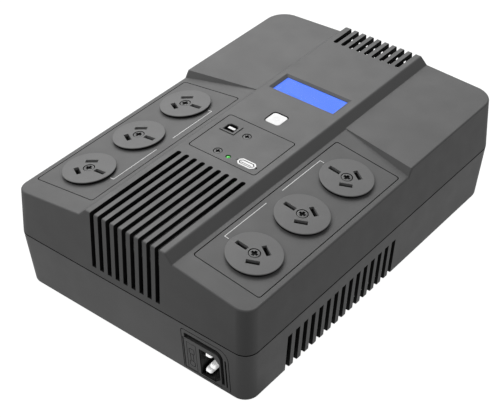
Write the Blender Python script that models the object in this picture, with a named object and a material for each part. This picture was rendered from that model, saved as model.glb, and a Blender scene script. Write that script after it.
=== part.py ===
"""Desktop uninterruptible power supply with two banks of three-pin outlets.

Frame: +X to the right and +Y to the rear when facing the mains inlet, +Z up.
The origin is on the table plane, under the centre of the body.
"""
import math

import bmesh
import bpy
from mathutils import Matrix, Vector

MM = 0.001
GAP = 0.3 * MM                      # clearance between neighbouring pieces
BEYOND = 1.0 * MM                   # how far a cutter runs past the face that it opens
OUTSIDE = 5.0 * MM                  # how far the slot and vent cutters start outside the case

# ---------------------------------------------------------------- driving dimensions
BODY_LENGTH = 297.0 * MM            # along Y, at the seam between the two shells
BODY_WIDTH = 205.2 * MM             # along X, at the seam
SPINE_TOP_Z = 95.0 * MM
SEAM_Z = 45.3 * MM
FOOT_STAND = 1.5 * MM               # height of the rubber feet below the base
WALL = 2.5 * MM
LIP_HEIGHT = 2.0 * MM               # the lower shell's lip, inside the upper shell's wall
LIP_THICKNESS = 1.2 * MM
BASE_EDGE = (1.6 * MM, 1.2 * MM)    # width and height of the base's bevel

FRONT_DRAFT = math.radians(3.0)     # lean of the upper front wall
SIDE_DRAFT = math.radians(2.2)      # lean of the upper side and rear walls
BASE_DRAFT = math.radians(3.8)      # inward taper of the base below the seam
FRONT_RADIUS = 10.5 * MM            # plan radius of the front corners
REAR_RADIUS = 16.0 * MM
CORNER_STEPS = 5

SPINE_HALF = 34.6 * MM              # half width of the flat spine top
FOOT_X = 40.6 * MM                  # where the spine's sloping wall meets a deck
FOOT_Z = 88.7 * MM
WING_RISE = 0.5 * MM                # rear wings start this much above the decks
DECK_TILT = math.radians(7.5)
WING_TILT = math.radians(2.8)
STEP_Y = 39.8 * MM                  # where deck and wing meet beside the spine
STEP_LOW_RUN = 11.0 * MM            # how far forward the step's foot runs at the outer edge
STEP_HIGH_RUN = 7.2 * MM

SLOT_COUNT = 9
SLOT_PITCH = 7.04 * MM
SLOT_WIDTH = 3.5 * MM
FRONT_SLOT_END_Y = -58.9 * MM
FRONT_SLOT_LOW_Z = 51.1 * MM
REAR_SLOT_END_Y = 121.4 * MM
REAR_SLOT_LOW_Z = 60.0 * MM
SLOT_INTO_WALL = 6.0 * MM           # how far the slots reach in through the end walls

VENT_COUNT = 15
VENT_PITCH = 8.53 * MM
VENT_WIDTH = 4.1 * MM
VENT_FIRST_Y = -104.5 * MM
VENT_TOP_Z = 33.6 * MM
VENT_REACH = 6.0 * MM               # how far the vents run in under the base

PANEL_WIDTH = 53.2 * MM
PANEL_LENGTH = 153.8 * MM
PANEL_CENTRE = (30.0 * MM, -52.9 * MM)   # outboard from the deck foot, and along Y
PANEL_CORNER = 1.8 * MM
PANEL_THICKNESS = 2.5 * MM
PANEL_BACKING = 1.5 * MM            # extra thickness under the deck's wall
PANEL_FLANGE = 2.4 * MM             # how far the panel's flange reaches under the deck
OUTLET_OUTBOARD = 31.6 * MM
OUTLET_MIDDLE_Y = -53.7 * MM
OUTLET_PITCH = 50.1 * MM
OUTLET_RADIUS = 19.0 * MM
OUTLET_RISE = 2.2 * MM
OUTLET_BOSS_RADIUS = 16.0 * MM
OUTLET_BOSS_DEPTH = 12.0 * MM
OUTLET_SCREW_LENGTH = 12.5 * MM
OUTLET_SEGMENTS = 32
EARTH_OFFSET = 10.3 * MM            # earth slot from the outlet's centre
LIVE_OFFSET = (4.1 * MM, 7.0 * MM)  # line and neutral slots from the outlet's centre
PIN_SLOT = (8.8 * MM, 3.2 * MM)
PIN_SLOT_TURN = math.radians(30.0)
STRIP_THICKNESS = 1.2 * MM
STRIP_WIDTH = 4.0 * MM
STRIP_ARM = 5.0 * MM

OUTLET_SCREW_HEAD = 3.7 * MM        # radius of the head in the middle of each outlet
SCREW_HEAD_RADIUS = 2.8 * MM
SCREW_SHANK_RADIUS = 1.4 * MM
SCREW_SINK = 2.0 * MM               # depth of the round sink that a panel screw's head sits in
SCREW_HEAD_HEIGHT = 1.4 * MM
SCREW_RECESS = (3.4 * MM, 0.8 * MM) # length and width of the cross in a screw's head
SCREW_SEGMENTS = 16

INTERFACE_CENTRE = (-0.4 * MM, -26.3 * MM)
INTERFACE_SIZE = (58.2 * MM, 46.0 * MM)
INTERFACE_CORNER = 2.0 * MM
INTERFACE_THICKNESS = 4.0 * MM
INTERFACE_SCREW_LENGTH = 8.0 * MM
USB_DATA_PLACE = (-17.9 * MM, -16.5 * MM)
USB_DATA_SIZE = (12.6 * MM, 11.0 * MM)
USB_DATA_OPENING = (8.4 * MM, 7.6 * MM)
USB_CHARGER_PLACE = (16.7 * MM, -42.4 * MM)
USB_CHARGER_SIZE = (14.6 * MM, 7.0 * MM)
USB_CHARGER_OPENING = (12.4 * MM, 4.6 * MM)
USB_DEPTH = 9.0 * MM
STATUS_LIGHT_PLACE = (1.4 * MM, -43.4 * MM)
STATUS_LIGHT_RADIUS = 1.6 * MM
INTERFACE_SCREWS = {"rear": (-3.2 * MM, -17.3 * MM), "front": (-8.6 * MM, -42.4 * MM)}

DISPLAY_CENTRE = (-0.8 * MM, 52.8 * MM)
DISPLAY_SIZE = (58.6 * MM, 23.0 * MM)
DISPLAY_CORNER = 0.8 * MM
DISPLAY_SINK = 1.0 * MM             # window below the spine's top
BUTTON_CENTRE = (-0.3 * MM, 12.5 * MM)
BUTTON_SIZE = 12.6 * MM
BUTTON_CORNER = 2.0 * MM
BUTTON_DEPTH = 3.4 * MM
PLUNGER_RISE = 2.0 * MM             # plunger above the switch

INLET_FACE_Y = -145.9 * MM          # the inlet's upright face, near the foot of the tapered wall
INLET_X = (47.9 * MM, 81.6 * MM)
INLET_Z = (4.4 * MM, 34.4 * MM)
INLET_DEPTH = 26.0 * MM
INLET_CORNER = 4.0 * MM
POCKET_X = (47.1 * MM, 86.0 * MM)
POCKET_Z = (3.8 * MM, 41.0 * MM)
POCKET_CORNER = 6.0 * MM
SOCKET_X = (60.3 * MM, 77.1 * MM)
SOCKET_Z = (5.6 * MM, 29.2 * MM)
SOCKET_DEPTH = 16.0 * MM
SOCKET_CHAMFER = 4.6 * MM
INLET_PIN_SPACING = 14.0 * MM
INLET_PIN_SIZE = (4.0 * MM, 2.0 * MM)
INLET_PIN_INSET = 5.2 * MM
INLET_PIN_SINK = 2.0 * MM           # pins' tips behind the inlet's face
INLET_EARTH_SHIFT = 4.4 * MM
DRAWER_X = (50.4 * MM, 57.8 * MM)
DRAWER_Z = (5.2 * MM, 29.2 * MM)
DRAWER_DEPTH = 20.0 * MM
DRAWER_WALL = 1.2 * MM

BATTERY_SIZE = (94.0 * MM, 151.0 * MM, 65.0 * MM)
BATTERY_CENTRE = (0.0, -60.5 * MM)
BATTERY_FLOOR = 4.6 * MM
DOOR_MARGIN = 1.5 * MM              # door beyond the battery's outline
DOOR_STEP = 3.0 * MM                # ledge that the door's plate closes against
DOOR_PLATE = 1.0 * MM
DOOR_GRIPS = 5
DOOR_GRIP_SIZE = (30.0 * MM, 1.6 * MM, 0.6 * MM)
DOOR_GRIP_PITCH = 4.0 * MM
DOOR_GRIP_EDGE = 14.0 * MM          # first grip groove from the door's rear edge

POST_RADIUS = 4.2 * MM
POST_BORE = 1.8 * MM
POST_PLACES = {
    "front_left": (-90.0 * MM, -136.5 * MM),
    "front_right": (91.0 * MM, -136.8 * MM),
    "rear_left": (-88.0 * MM, 134.0 * MM),
    "rear_right": (88.0 * MM, 134.0 * MM),
}
CASE_SCREW_HEAD = 3.0 * MM
CASE_SCREW_SEAT = 6.0 * MM          # depth of the hole that a case screw's head goes up
CASE_SCREW_REACH = 14.0 * MM        # how far a case screw goes up into the upper shell
FOOT_PLACES = {
    "front_left": (-76.0 * MM, -130.0 * MM),
    "front_right": (76.0 * MM, -130.0 * MM),
    "rear_left": (-76.0 * MM, 128.0 * MM),
    "rear_right": (76.0 * MM, 128.0 * MM),
}
FOOT_RADIUS = 7.0 * MM
FOOT_RECESS = 0.8 * MM              # shallow seat in the base that each foot sits in
FOOT_SEGMENTS = 20

BOARD_THICKNESS = 1.6 * MM
INTERFACE_BOARD_X = (-30.0 * MM, 29.0 * MM)
INTERFACE_BOARD_Y = (-49.0 * MM, 66.0 * MM)
INTERFACE_BOARD_Z = 79.0 * MM
MAIN_BOARD_X = (-80.0 * MM, 8.0 * MM)
MAIN_BOARD_Y = (24.0 * MM, 118.0 * MM)
MAIN_BOARD_Z = 11.0 * MM
STANDOFF_RADIUS = 2.6 * MM
STANDOFF_EDGE = 5.0 * MM

TRANSFORMER_X = (18.0 * MM, 84.0 * MM)
TRANSFORMER_Y = (56.0 * MM, 96.0 * MM)
TRANSFORMER_HEIGHT = 56.0 * MM
TRANSFORMER_LEG = 11.0 * MM         # half of the middle leg; also the windows' width
TRANSFORMER_YOKE = 10.0 * MM
TERMINAL_X = (30.0 * MM, 36.35 * MM)
TERMINAL_LENGTH = 8.0 * MM
LEAD_RADIUS = 1.7 * MM

# ---------------------------------------------------------------- worked-out dimensions
INTERFACE_BOARD_TOP = INTERFACE_BOARD_Z + BOARD_THICKNESS
SWITCH_TOP = INTERFACE_BOARD_TOP + GAP + 4.4 * MM
MAIN_BOARD_TOP = MAIN_BOARD_Z + BOARD_THICKNESS
BASE_Z = FOOT_STAND
FLOOR_Z = BASE_Z + WALL
MIDDLE_Y = BODY_LENGTH / 2
SPINE_INSET = math.tan(math.radians(22.5))   # shift of a 45 degree wall per unit of wall thickness

# Colour, roughness and metallic value of each material.
FINISHES = {
    "shell_plastic": ((0.200, 0.200, 0.202), 0.62, 0.0),
    "base_plastic": ((0.150, 0.150, 0.152), 0.62, 0.0),
    "panel_plastic": ((0.195, 0.195, 0.197), 0.58, 0.0),
    "outlet_plastic": ((0.240, 0.240, 0.242), 0.55, 0.0),
    "screw_steel": ((0.42, 0.42, 0.43), 0.35, 1.0),
    "window_clear": ((0.75, 0.82, 0.90), 0.08, 0.0),
    "display_blue": ((0.10, 0.25, 1.00), 0.30, 0.0),
    "button_white": ((0.88, 0.88, 0.88), 0.35, 0.0),
    "port_black": ((0.020, 0.020, 0.020), 0.50, 0.0),
    "port_white": ((0.85, 0.85, 0.85), 0.35, 0.0),
    "light_green": ((0.10, 0.62, 0.10), 0.20, 0.0),
    "inlet_black": ((0.075, 0.075, 0.076), 0.48, 0.0),
    "pin_nickel": ((0.80, 0.80, 0.78), 0.22, 1.0),
    "fuse_glass": ((0.80, 0.85, 0.85), 0.10, 0.0),
    "board_green": ((0.02, 0.16, 0.06), 0.45, 0.0),
    "core_steel": ((0.16, 0.15, 0.14), 0.55, 0.8),
    "coil_copper": ((0.65, 0.28, 0.12), 0.35, 0.9),
    "fin_aluminium": ((0.70, 0.71, 0.72), 0.35, 1.0),
    "relay_blue": ((0.03, 0.10, 0.35), 0.40, 0.0),
    "capacitor_sleeve": ((0.02, 0.02, 0.06), 0.35, 0.0),
    "battery_case": ((0.030, 0.030, 0.032), 0.55, 0.0),
    "terminal_brass": ((0.72, 0.55, 0.28), 0.32, 1.0),
    "lead_red": ((0.60, 0.02, 0.02), 0.45, 0.0),
    "lead_black": ((0.015, 0.015, 0.015), 0.45, 0.0),
    "strip_brass": ((0.70, 0.53, 0.25), 0.35, 1.0),
    "foot_rubber": ((0.025, 0.025, 0.025), 0.90, 0.0),
}


# ---------------------------------------------------------------- mesh helpers
def clear_scene():
    for item in list(bpy.data.objects):
        bpy.data.objects.remove(item, do_unlink=True)


def mesh_from(name, vertices, faces):
    """A mesh with its faces turned outwards."""
    mesh = bpy.data.meshes.new(name)
    mesh.from_pydata([tuple(v) for v in vertices], [], faces)
    shape = bmesh.new()
    shape.from_mesh(mesh)
    bmesh.ops.recalc_face_normals(shape, faces=shape.faces)
    shape.to_mesh(mesh)
    shape.free()
    return mesh


def loft(name, rings):
    """Join rings of equally many points, with a flat cap on the first and the last."""
    count = len(rings[0])
    vertices = [point for ring in rings for point in ring]
    faces = [tuple(range(count)), tuple(range((len(rings) - 1) * count, len(rings) * count))]
    for level in range(len(rings) - 1):
        for i in range(count):
            j = (i + 1) % count
            low = level * count
            high = low + count
            faces.append((low + i, low + j, high + j, high + i))
    return mesh_from(name, vertices, faces)


def merge_meshes(name, meshes):
    """Several closed meshes that don't touch, held in one mesh."""
    vertices = []
    faces = []
    for mesh in meshes:
        start = len(vertices)
        vertices += [v.co.copy() for v in mesh.vertices]
        faces += [tuple(start + i for i in polygon.vertices) for polygon in mesh.polygons]
        bpy.data.meshes.remove(mesh)
    return mesh_from(name, vertices, faces)


def prism(name, outline, low, high):
    """A flat outline in X and Y, extruded along Z."""
    return loft(name, [[(x, y, low) for x, y in outline], [(x, y, high) for x, y in outline]])


def box(name, x_range, y_range, z_range):
    x0, x1 = x_range
    y0, y1 = y_range
    return prism(name, [(x0, y0), (x1, y0), (x1, y1), (x0, y1)], *z_range)


def spans(centre, size):
    """The X range and the Y range of a rectangle."""
    return [(middle - length / 2, middle + length / 2) for middle, length in zip(centre, size)]


def centred_box(name, centre, size, z_range):
    return box(name, *spans(centre, size), z_range)


def rounded_outline(x_range, y_range, front_radius, rear_radius, steps=3):
    """A rectangle with rounded corners, anticlockwise from the front right."""
    x0, x1 = x_range
    y0, y1 = y_range
    corners = [
        (x1 - front_radius, y0 + front_radius, front_radius, -90),
        (x1 - rear_radius, y1 - rear_radius, rear_radius, 0),
        (x0 + rear_radius, y1 - rear_radius, rear_radius, 90),
        (x0 + front_radius, y0 + front_radius, front_radius, 180),
    ]
    points = []
    for cx, cy, radius, start in corners:
        for k in range(steps + 1):
            angle = math.radians(start + 90 * k / steps)
            points.append((cx + radius * math.cos(angle), cy + radius * math.sin(angle)))
    return points


def rounded_plate(name, centre, size, radius, z_range, steps=3):
    return prism(name, rounded_outline(*spans(centre, size), radius, radius, steps), *z_range)


def turned(name, profile, centre=(0.0, 0.0), segments=24):
    """A round piece from (radius, height) points, listed from its lowest to its highest."""
    rings = []
    for radius, height in profile:
        ring = []
        for k in range(segments):
            angle = 2 * math.pi * k / segments
            ring.append((centre[0] + radius * math.cos(angle), centre[1] + radius * math.sin(angle), height))
        rings.append(ring)
    return loft(name, rings)


def tube(name, path, radius, segments=8):
    """A round lead along a smooth path, with flat ends."""
    points = smooth_path([Vector(p) for p in path])
    rings = []
    side = Vector((0.0, 0.0, 1.0))
    for i, point in enumerate(points):
        before = points[max(i - 1, 0)]
        after = points[min(i + 1, len(points) - 1)]
        direction = (after - before).normalized()
        side = (side - direction * side.dot(direction)).normalized()
        other = direction.cross(side)
        ring = []
        for k in range(segments):
            angle = 2 * math.pi * k / segments
            ring.append(point + radius * (math.cos(angle) * side + math.sin(angle) * other))
        rings.append(ring)
    return loft(name, rings)


def smooth_path(points, steps=3):
    """Catmull-Rom curve through the points."""
    padded = [points[0]] + points + [points[-1]]
    curve = []
    for i in range(1, len(padded) - 2):
        p0, p1, p2, p3 = padded[i - 1:i + 3]
        for k in range(steps):
            t = k / steps
            curve.append(0.5 * (2 * p1 + (p2 - p0) * t + (2 * p0 - 5 * p1 + 4 * p2 - p3) * t * t
                                + (3 * p1 - p0 - 3 * p2 + p3) * t * t * t))
    curve.append(points[-1])
    return curve


def turn_mesh(mesh, matrix):
    mesh.transform(matrix)
    return mesh


# ---------------------------------------------------------------- object helpers
def material_for(object_name, finish):
    colour, roughness, metallic = FINISHES[finish]
    material = bpy.data.materials.new(object_name + "." + finish)
    material.use_nodes = True
    shader = material.node_tree.nodes["Principled BSDF"]
    shader.inputs["Base Color"].default_value = (*colour, 1.0)
    shader.inputs["Roughness"].default_value = roughness
    shader.inputs["Metallic"].default_value = metallic
    return material


def piece(name, mesh, finish, location=(0.0, 0.0, 0.0), parent=None, smooth=False):
    item = bpy.data.objects.new(name, mesh)
    bpy.context.scene.collection.objects.link(item)
    item.location = location
    item.parent = parent
    mesh.materials.append(material_for(name, finish))
    if smooth:
        mesh.shade_smooth()
        mesh.set_sharp_from_angle(angle=math.radians(35))
    return item


def combine(target, tool_mesh, operation):
    """Boolean a mesh, given in the target's own space, into the target."""
    tool = bpy.data.objects.new("tool", tool_mesh)
    bpy.context.scene.collection.objects.link(tool)
    tool.matrix_world = target_world(target)
    step = target.modifiers.new(operation, "BOOLEAN")
    step.operation = operation
    step.solver = "EXACT"
    step.object = tool
    bpy.context.view_layer.update()
    result = bpy.data.meshes.new_from_object(target.evaluated_get(bpy.context.evaluated_depsgraph_get()))
    target.modifiers.clear()
    old = target.data
    result.name = old.name
    target.data = result
    bpy.data.meshes.remove(old)
    bpy.data.objects.remove(tool, do_unlink=True)
    bpy.data.meshes.remove(tool_mesh)


def target_world(target):
    bpy.context.view_layer.update()
    return target.matrix_world.copy()


def cut(target, tool_mesh):
    combine(target, tool_mesh, "DIFFERENCE")


def join(target, tool_mesh):
    combine(target, tool_mesh, "UNION")


def empty(name, location, turn_y=0.0):
    item = bpy.data.objects.new(name, None)
    bpy.context.scene.collection.objects.link(item)
    item.location = location
    item.rotation_euler = (0.0, turn_y, 0.0)
    return item


# ---------------------------------------------------------------- outer shape of the case
def wall_half_width(z):
    if z >= SEAM_Z:
        return BODY_WIDTH / 2 - (z - SEAM_Z) * math.tan(SIDE_DRAFT)
    return BODY_WIDTH / 2 - (SEAM_Z - z) * math.tan(BASE_DRAFT)


def front_wall_y(z):
    if z >= SEAM_Z:
        return -MIDDLE_Y + (z - SEAM_Z) * math.tan(FRONT_DRAFT)
    return -MIDDLE_Y + (SEAM_Z - z) * math.tan(BASE_DRAFT)


def rear_wall_y(z):
    if z >= SEAM_Z:
        return MIDDLE_Y - (z - SEAM_Z) * math.tan(SIDE_DRAFT)
    return MIDDLE_Y - (SEAM_Z - z) * math.tan(BASE_DRAFT)


def deck_z(x):
    return FOOT_Z - (abs(x) - FOOT_X) * math.tan(DECK_TILT)


def wing_z(x):
    return FOOT_Z + WING_RISE - (abs(x) - FOOT_X) * math.tan(WING_TILT)


def step_y(x, run):
    """Where the slanted step's foot or crest is: at STEP_Y by the spine, further forward outboard."""
    outboard = max(abs(x) - FOOT_X, 0.0) / (BODY_WIDTH / 2 - FOOT_X)
    return STEP_Y - run * outboard


def upper_section(surface, y_of, narrow, inset, bottom):
    """Cross-section of the upper shell, from bottom left over the top to bottom right."""
    half = []
    outer_x = wall_half_width(FOOT_Z) - narrow - inset
    outer_z = surface(outer_x) - inset
    half.append((SPINE_HALF - SPINE_INSET * inset, SPINE_TOP_Z - inset))
    half.append((FOOT_X - SPINE_INSET * inset, surface(FOOT_X) - inset))
    half.append((wall_half_width(outer_z) - narrow - inset, outer_z))
    half.append((wall_half_width(bottom) - narrow - inset, bottom))
    left = [(-x, y_of(x, z), z) for x, z in reversed(half)]
    right = [(x, y_of(x, z), z) for x, z in half]
    return left + right


def upper_form(name, inset, bottom):
    """The upper shell's outline as a solid, drawn in by inset and reaching down to bottom."""
    rings = []
    radius = FRONT_RADIUS - inset
    for k in range(CORNER_STEPS + 1):
        angle = math.radians(90 * k / CORNER_STEPS)
        ahead = inset + radius * (1 - math.cos(angle))
        narrow = radius * (1 - math.sin(angle))
        rings.append(upper_section(deck_z, lambda x, z: front_wall_y(z) + ahead, narrow, inset, bottom))
    rings.append(upper_section(deck_z, lambda x, z: step_y(x, STEP_LOW_RUN), 0.0, inset, bottom))
    rings.append(upper_section(wing_z, lambda x, z: step_y(x, STEP_HIGH_RUN) + GAP, 0.0, inset, bottom))
    radius = REAR_RADIUS - inset
    for k in range(CORNER_STEPS, -1, -1):
        angle = math.radians(90 * k / CORNER_STEPS)
        ahead = inset + radius * (1 - math.cos(angle))
        narrow = radius * (1 - math.sin(angle))
        rings.append(upper_section(wing_z, lambda x, z: rear_wall_y(z) - ahead, narrow, inset, bottom))
    return loft(name, rings)


def case_ring(z, inset):
    """The case's plan outline at a height, drawn in by inset."""
    half = wall_half_width(z) - inset
    outline = rounded_outline((-half, half), (front_wall_y(z) + inset, rear_wall_y(z) - inset),
                              FRONT_RADIUS - inset, REAR_RADIUS - inset, CORNER_STEPS)
    return outline


def spine_slot_centres():
    return [(k - (SLOT_COUNT - 1) / 2) * SLOT_PITCH for k in range(SLOT_COUNT)]


def stadium(x, y_range, width, round_low, steps=6):
    """A slot's plan outline, rounded at its low or its high Y end and square at the other."""
    y0, y1 = y_range
    half = width / 2
    if round_low:
        arc = [(x - half * math.cos(math.pi * k / steps), y0 + half - half * math.sin(math.pi * k / steps))
               for k in range(steps + 1)]
        return arc + [(x + half, y1), (x - half, y1)]
    arc = [(x + half * math.cos(math.pi * k / steps), y1 - half + half * math.sin(math.pi * k / steps))
           for k in range(steps + 1)]
    return [(x - half, y0), (x + half, y0)] + arc


# ---------------------------------------------------------------- case
def make_upper_shell():
    low = SEAM_Z + GAP / 2
    shell = piece("upper_shell", upper_form("upper_shell", 0.0, low), "shell_plastic")
    cut(shell, upper_form("cavity", WALL, low - 2 * BEYOND))
    cut_spine_slots(shell)
    for side in (-1, 1):
        size = (PANEL_WIDTH + 2 * GAP, PANEL_LENGTH + 2 * GAP)
        centre = (side * PANEL_CENTRE[0], PANEL_CENTRE[1])
        opening = rounded_plate("opening", centre, size, PANEL_CORNER + GAP, (-12 * MM, 6 * MM))
        cut(shell, turn_mesh(opening, deck_matrix(side)))
    through = (SPINE_TOP_Z - WALL - BEYOND, SPINE_TOP_Z + BEYOND)
    interface_hole = (INTERFACE_SIZE[0] + 2 * GAP, INTERFACE_SIZE[1] + 2 * GAP)
    button_hole = (BUTTON_SIZE + 4 * GAP, BUTTON_SIZE + 4 * GAP)
    holes = [
        rounded_plate("hole", INTERFACE_CENTRE, interface_hole, INTERFACE_CORNER + GAP, through),
        rounded_plate("hole", DISPLAY_CENTRE, DISPLAY_SIZE, DISPLAY_CORNER, through, 2),
        rounded_plate("hole", BUTTON_CENTRE, button_hole, BUTTON_CORNER + 2 * GAP, through),
    ]
    cut(shell, merge_meshes("holes", holes))
    for place in POST_PLACES.values():
        surface = deck_z(place[0]) if place[1] < 0 else wing_z(place[0])
        profile = [(POST_RADIUS, SEAM_Z + LIP_HEIGHT + BEYOND), (POST_RADIUS, surface - WALL + BEYOND)]
        join(shell, turned("post", profile, place, SCREW_SEGMENTS))
    bore = [(POST_BORE, SEAM_Z), (POST_BORE, SEAM_Z + CASE_SCREW_REACH + 4 * MM)]
    bores = [turned("bore", bore, place, 12) for place in POST_PLACES.values()]
    cut(shell, merge_meshes("bores", bores))


def cut_spine_slots(shell):
    """Each slot opens the spine's top from one end, and runs on down the wall there."""
    tops = []
    walls = []
    through = (SPINE_TOP_Z - WALL - BEYOND, SPINE_TOP_Z + OUTSIDE)
    high = SPINE_TOP_Z + OUTSIDE - BEYOND
    for x in spine_slot_centres():
        front = (-MIDDLE_Y - OUTSIDE, FRONT_SLOT_END_Y)
        rear = (REAR_SLOT_END_Y, MIDDLE_Y + OUTSIDE)
        tops.append(prism("slot", stadium(x, front, SLOT_WIDTH, False), *through))
        tops.append(prism("slot", stadium(x, rear, SLOT_WIDTH, True), *through))
        span = (x - SLOT_WIDTH / 2, x + SLOT_WIDTH / 2)
        front_wall = (-MIDDLE_Y - OUTSIDE, -MIDDLE_Y + SLOT_INTO_WALL)
        rear_wall = (MIDDLE_Y - SLOT_INTO_WALL, MIDDLE_Y + OUTSIDE)
        walls.append(box("slot", span, front_wall, (FRONT_SLOT_LOW_Z, high)))
        walls.append(box("slot", span, rear_wall, (REAR_SLOT_LOW_Z, high)))
    cut(shell, merge_meshes("slots", tops))
    cut(shell, merge_meshes("slots", walls))


def make_lower_shell():
    top = SEAM_Z - GAP / 2
    lip_out = WALL + GAP
    lip_in = lip_out + LIP_THICKNESS
    levels = [
        (BASE_Z, BASE_EDGE[0]),
        (BASE_Z + BASE_EDGE[1], 0.0),
        (top, 0.0),
        (top, lip_out),
        (SEAM_Z + LIP_HEIGHT, lip_out),
        (SEAM_Z + LIP_HEIGHT, lip_in),
        (SEAM_Z - 3.0 * MM, lip_in),
        (SEAM_Z - 4.5 * MM, WALL),
        (FLOOR_Z, WALL),
    ]
    rings = [[(x, y, z) for x, y in case_ring(z, inset)] for z, inset in levels]
    shell = piece("lower_shell", loft("lower_shell", rings), "base_plastic")
    cut(shell, merge_meshes("vents", [vent for side in (-1, 1) for vent in vent_cutters(side)]))
    post = [(POST_RADIUS, BASE_Z + BEYOND), (POST_RADIUS, SEAM_Z + LIP_HEIGHT + GAP)]
    for place in POST_PLACES.values():
        join(shell, turned("post", post, place, SCREW_SEGMENTS))
    head_hole = CASE_SCREW_HEAD + 2 * GAP
    bore = [(head_hole, BASE_Z - BEYOND), (head_hole, BASE_Z + CASE_SCREW_SEAT),
            (POST_BORE, BASE_Z + CASE_SCREW_SEAT), (POST_BORE, SEAM_Z + LIP_HEIGHT + 2 * BEYOND)]
    bores = [turned("bore", bore, place, SCREW_SEGMENTS) for place in POST_PLACES.values()]
    cut(shell, merge_meshes("bores", bores))
    pocket_depth = (-MIDDLE_Y - OUTSIDE, INLET_FACE_Y + 0.2 * MM)
    cut(shell, inlet_solid("pocket", POCKET_X, POCKET_Z, pocket_depth, POCKET_CORNER))
    hole_x = (INLET_X[0] - GAP, INLET_X[1] + GAP)
    hole_z = (INLET_Z[0] - GAP, INLET_Z[1] + GAP)
    hole_depth = (-MIDDLE_Y - OUTSIDE, -MIDDLE_Y + 12 * MM)
    cut(shell, inlet_solid("inlet_hole", hole_x, hole_z, hole_depth, INLET_CORNER + GAP))
    ledge_z = (BASE_Z - BEYOND, BASE_Z + DOOR_PLATE + GAP)
    hole_z = (BASE_Z - 2 * BEYOND, FLOOR_Z + BEYOND)
    cut(shell, centred_box("door_recess", BATTERY_CENTRE, door_size(DOOR_STEP), ledge_z))
    cut(shell, centred_box("door_hole", BATTERY_CENTRE, door_size(0.0), hole_z))
    seat = [(FOOT_RADIUS + GAP, BASE_Z - BEYOND), (FOOT_RADIUS + GAP, BASE_Z + FOOT_RECESS)]
    seats = [turned("seat", seat, place, FOOT_SEGMENTS) for place in FOOT_PLACES.values()]
    cut(shell, merge_meshes("seats", seats))
    standoff = [(STANDOFF_RADIUS, FLOOR_Z - BEYOND), (STANDOFF_RADIUS, MAIN_BOARD_Z - GAP)]
    for place in board_standoffs():
        join(shell, turned("standoff", standoff, place, 12))


def vent_cutters(side):
    """Upright cutters for one side's row of vents, which also open the base's edge."""
    inner = wall_half_width(BASE_Z) - VENT_REACH
    span = sorted((side * inner, side * (BODY_WIDTH / 2 + OUTSIDE)))
    cutters = []
    for k in range(VENT_COUNT):
        y = VENT_FIRST_Y + k * VENT_PITCH
        across = (y - VENT_WIDTH / 2, y + VENT_WIDTH / 2)
        cutters.append(box("vent", span, across, (BASE_Z - 2 * BEYOND, VENT_TOP_Z)))
    return cutters


def door_size(step, clearance=0.0):
    """The battery opening's length and width, made wider all round by step and narrower by clearance."""
    extra = 2 * (DOOR_MARGIN + step - clearance)
    return (BATTERY_SIZE[0] + extra, BATTERY_SIZE[1] + extra)


def inlet_solid(name, x_range, z_range, y_range, top_right_radius):
    """A block along Y whose face has a large rounded top-right corner."""
    x0, x1 = x_range
    z0, z1 = z_range
    outline = [(x0, z0), (x1, z0)]
    for k in range(7):
        angle = math.radians(90 * k / 6)
        outline.append((x1 - top_right_radius + top_right_radius * math.cos(angle),
                        z1 - top_right_radius + top_right_radius * math.sin(angle)))
    outline.append((x0, z1))
    return loft(name, [[(x, y, z) for x, z in outline] for y in y_range])


def make_battery_door():
    origin = (*BATTERY_CENTRE, BASE_Z)
    plate = door_size(DOOR_STEP, GAP)
    door_mesh = centred_box("battery_door", (0.0, 0.0), plate, (0.0, DOOR_PLATE))
    door = piece("battery_door", door_mesh, "base_plastic", origin)
    join(door, centred_box("plug", (0.0, 0.0), door_size(0.0, GAP), (DOOR_PLATE / 2, WALL + 0.2 * MM)))
    grips = []
    for k in range(DOOR_GRIPS):
        y = plate[1] / 2 - DOOR_GRIP_EDGE - k * DOOR_GRIP_PITCH
        grips.append(centred_box("grip", (0.0, y), DOOR_GRIP_SIZE[:2], (-BEYOND, DOOR_GRIP_SIZE[2])))
    cut(door, merge_meshes("grips", grips))


def make_feet():
    top = BASE_Z + FOOT_RECESS - GAP
    profile = [(FOOT_RADIUS - 0.5 * MM, 0.0), (FOOT_RADIUS, 0.4 * MM), (FOOT_RADIUS, top)]
    for word, (x, y) in FOOT_PLACES.items():
        name = "foot_" + word
        foot = turned(name, profile, segments=FOOT_SEGMENTS)
        piece(name, foot, "foot_rubber", (x, y, 0.0), smooth=True)


def make_case_screws():
    head_top = BASE_Z + CASE_SCREW_SEAT - 0.4 * MM
    head_low = head_top - 2.0 * MM
    profile = [(CASE_SCREW_HEAD, head_low), (CASE_SCREW_HEAD, head_top),
               (SCREW_SHANK_RADIUS, head_top), (SCREW_SHANK_RADIUS, SEAM_Z + CASE_SCREW_REACH)]
    for word, (x, y) in POST_PLACES.items():
        name = "case_screw_" + word
        screw_mesh = turned(name, profile, segments=SCREW_SEGMENTS)
        screw = piece(name, screw_mesh, "screw_steel", (x, y, 0.0), smooth=True)
        cut(screw, cross_recess((head_low - BEYOND, head_low + 1.0 * MM)))


def cross_recess(z_range):
    """A plus-shaped prism for a cross-head screw."""
    a = SCREW_RECESS[0] / 2
    b = SCREW_RECESS[1] / 2
    quarter = [(b, b), (a, b), (a, -b)]
    outline = []
    while len(outline) < 4 * len(quarter):
        outline += quarter
        quarter = [(y, -x) for x, y in quarter]
    return prism("cross", outline, *z_range)


# ---------------------------------------------------------------- outlet banks
def deck_matrix(side):
    """From a bank's own flat frame, at the spine's foot, to the tilted deck on that side."""
    return Matrix.Translation((side * FOOT_X, 0.0, FOOT_Z)) @ Matrix.Rotation(side * DECK_TILT, 4, "Y")


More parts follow.
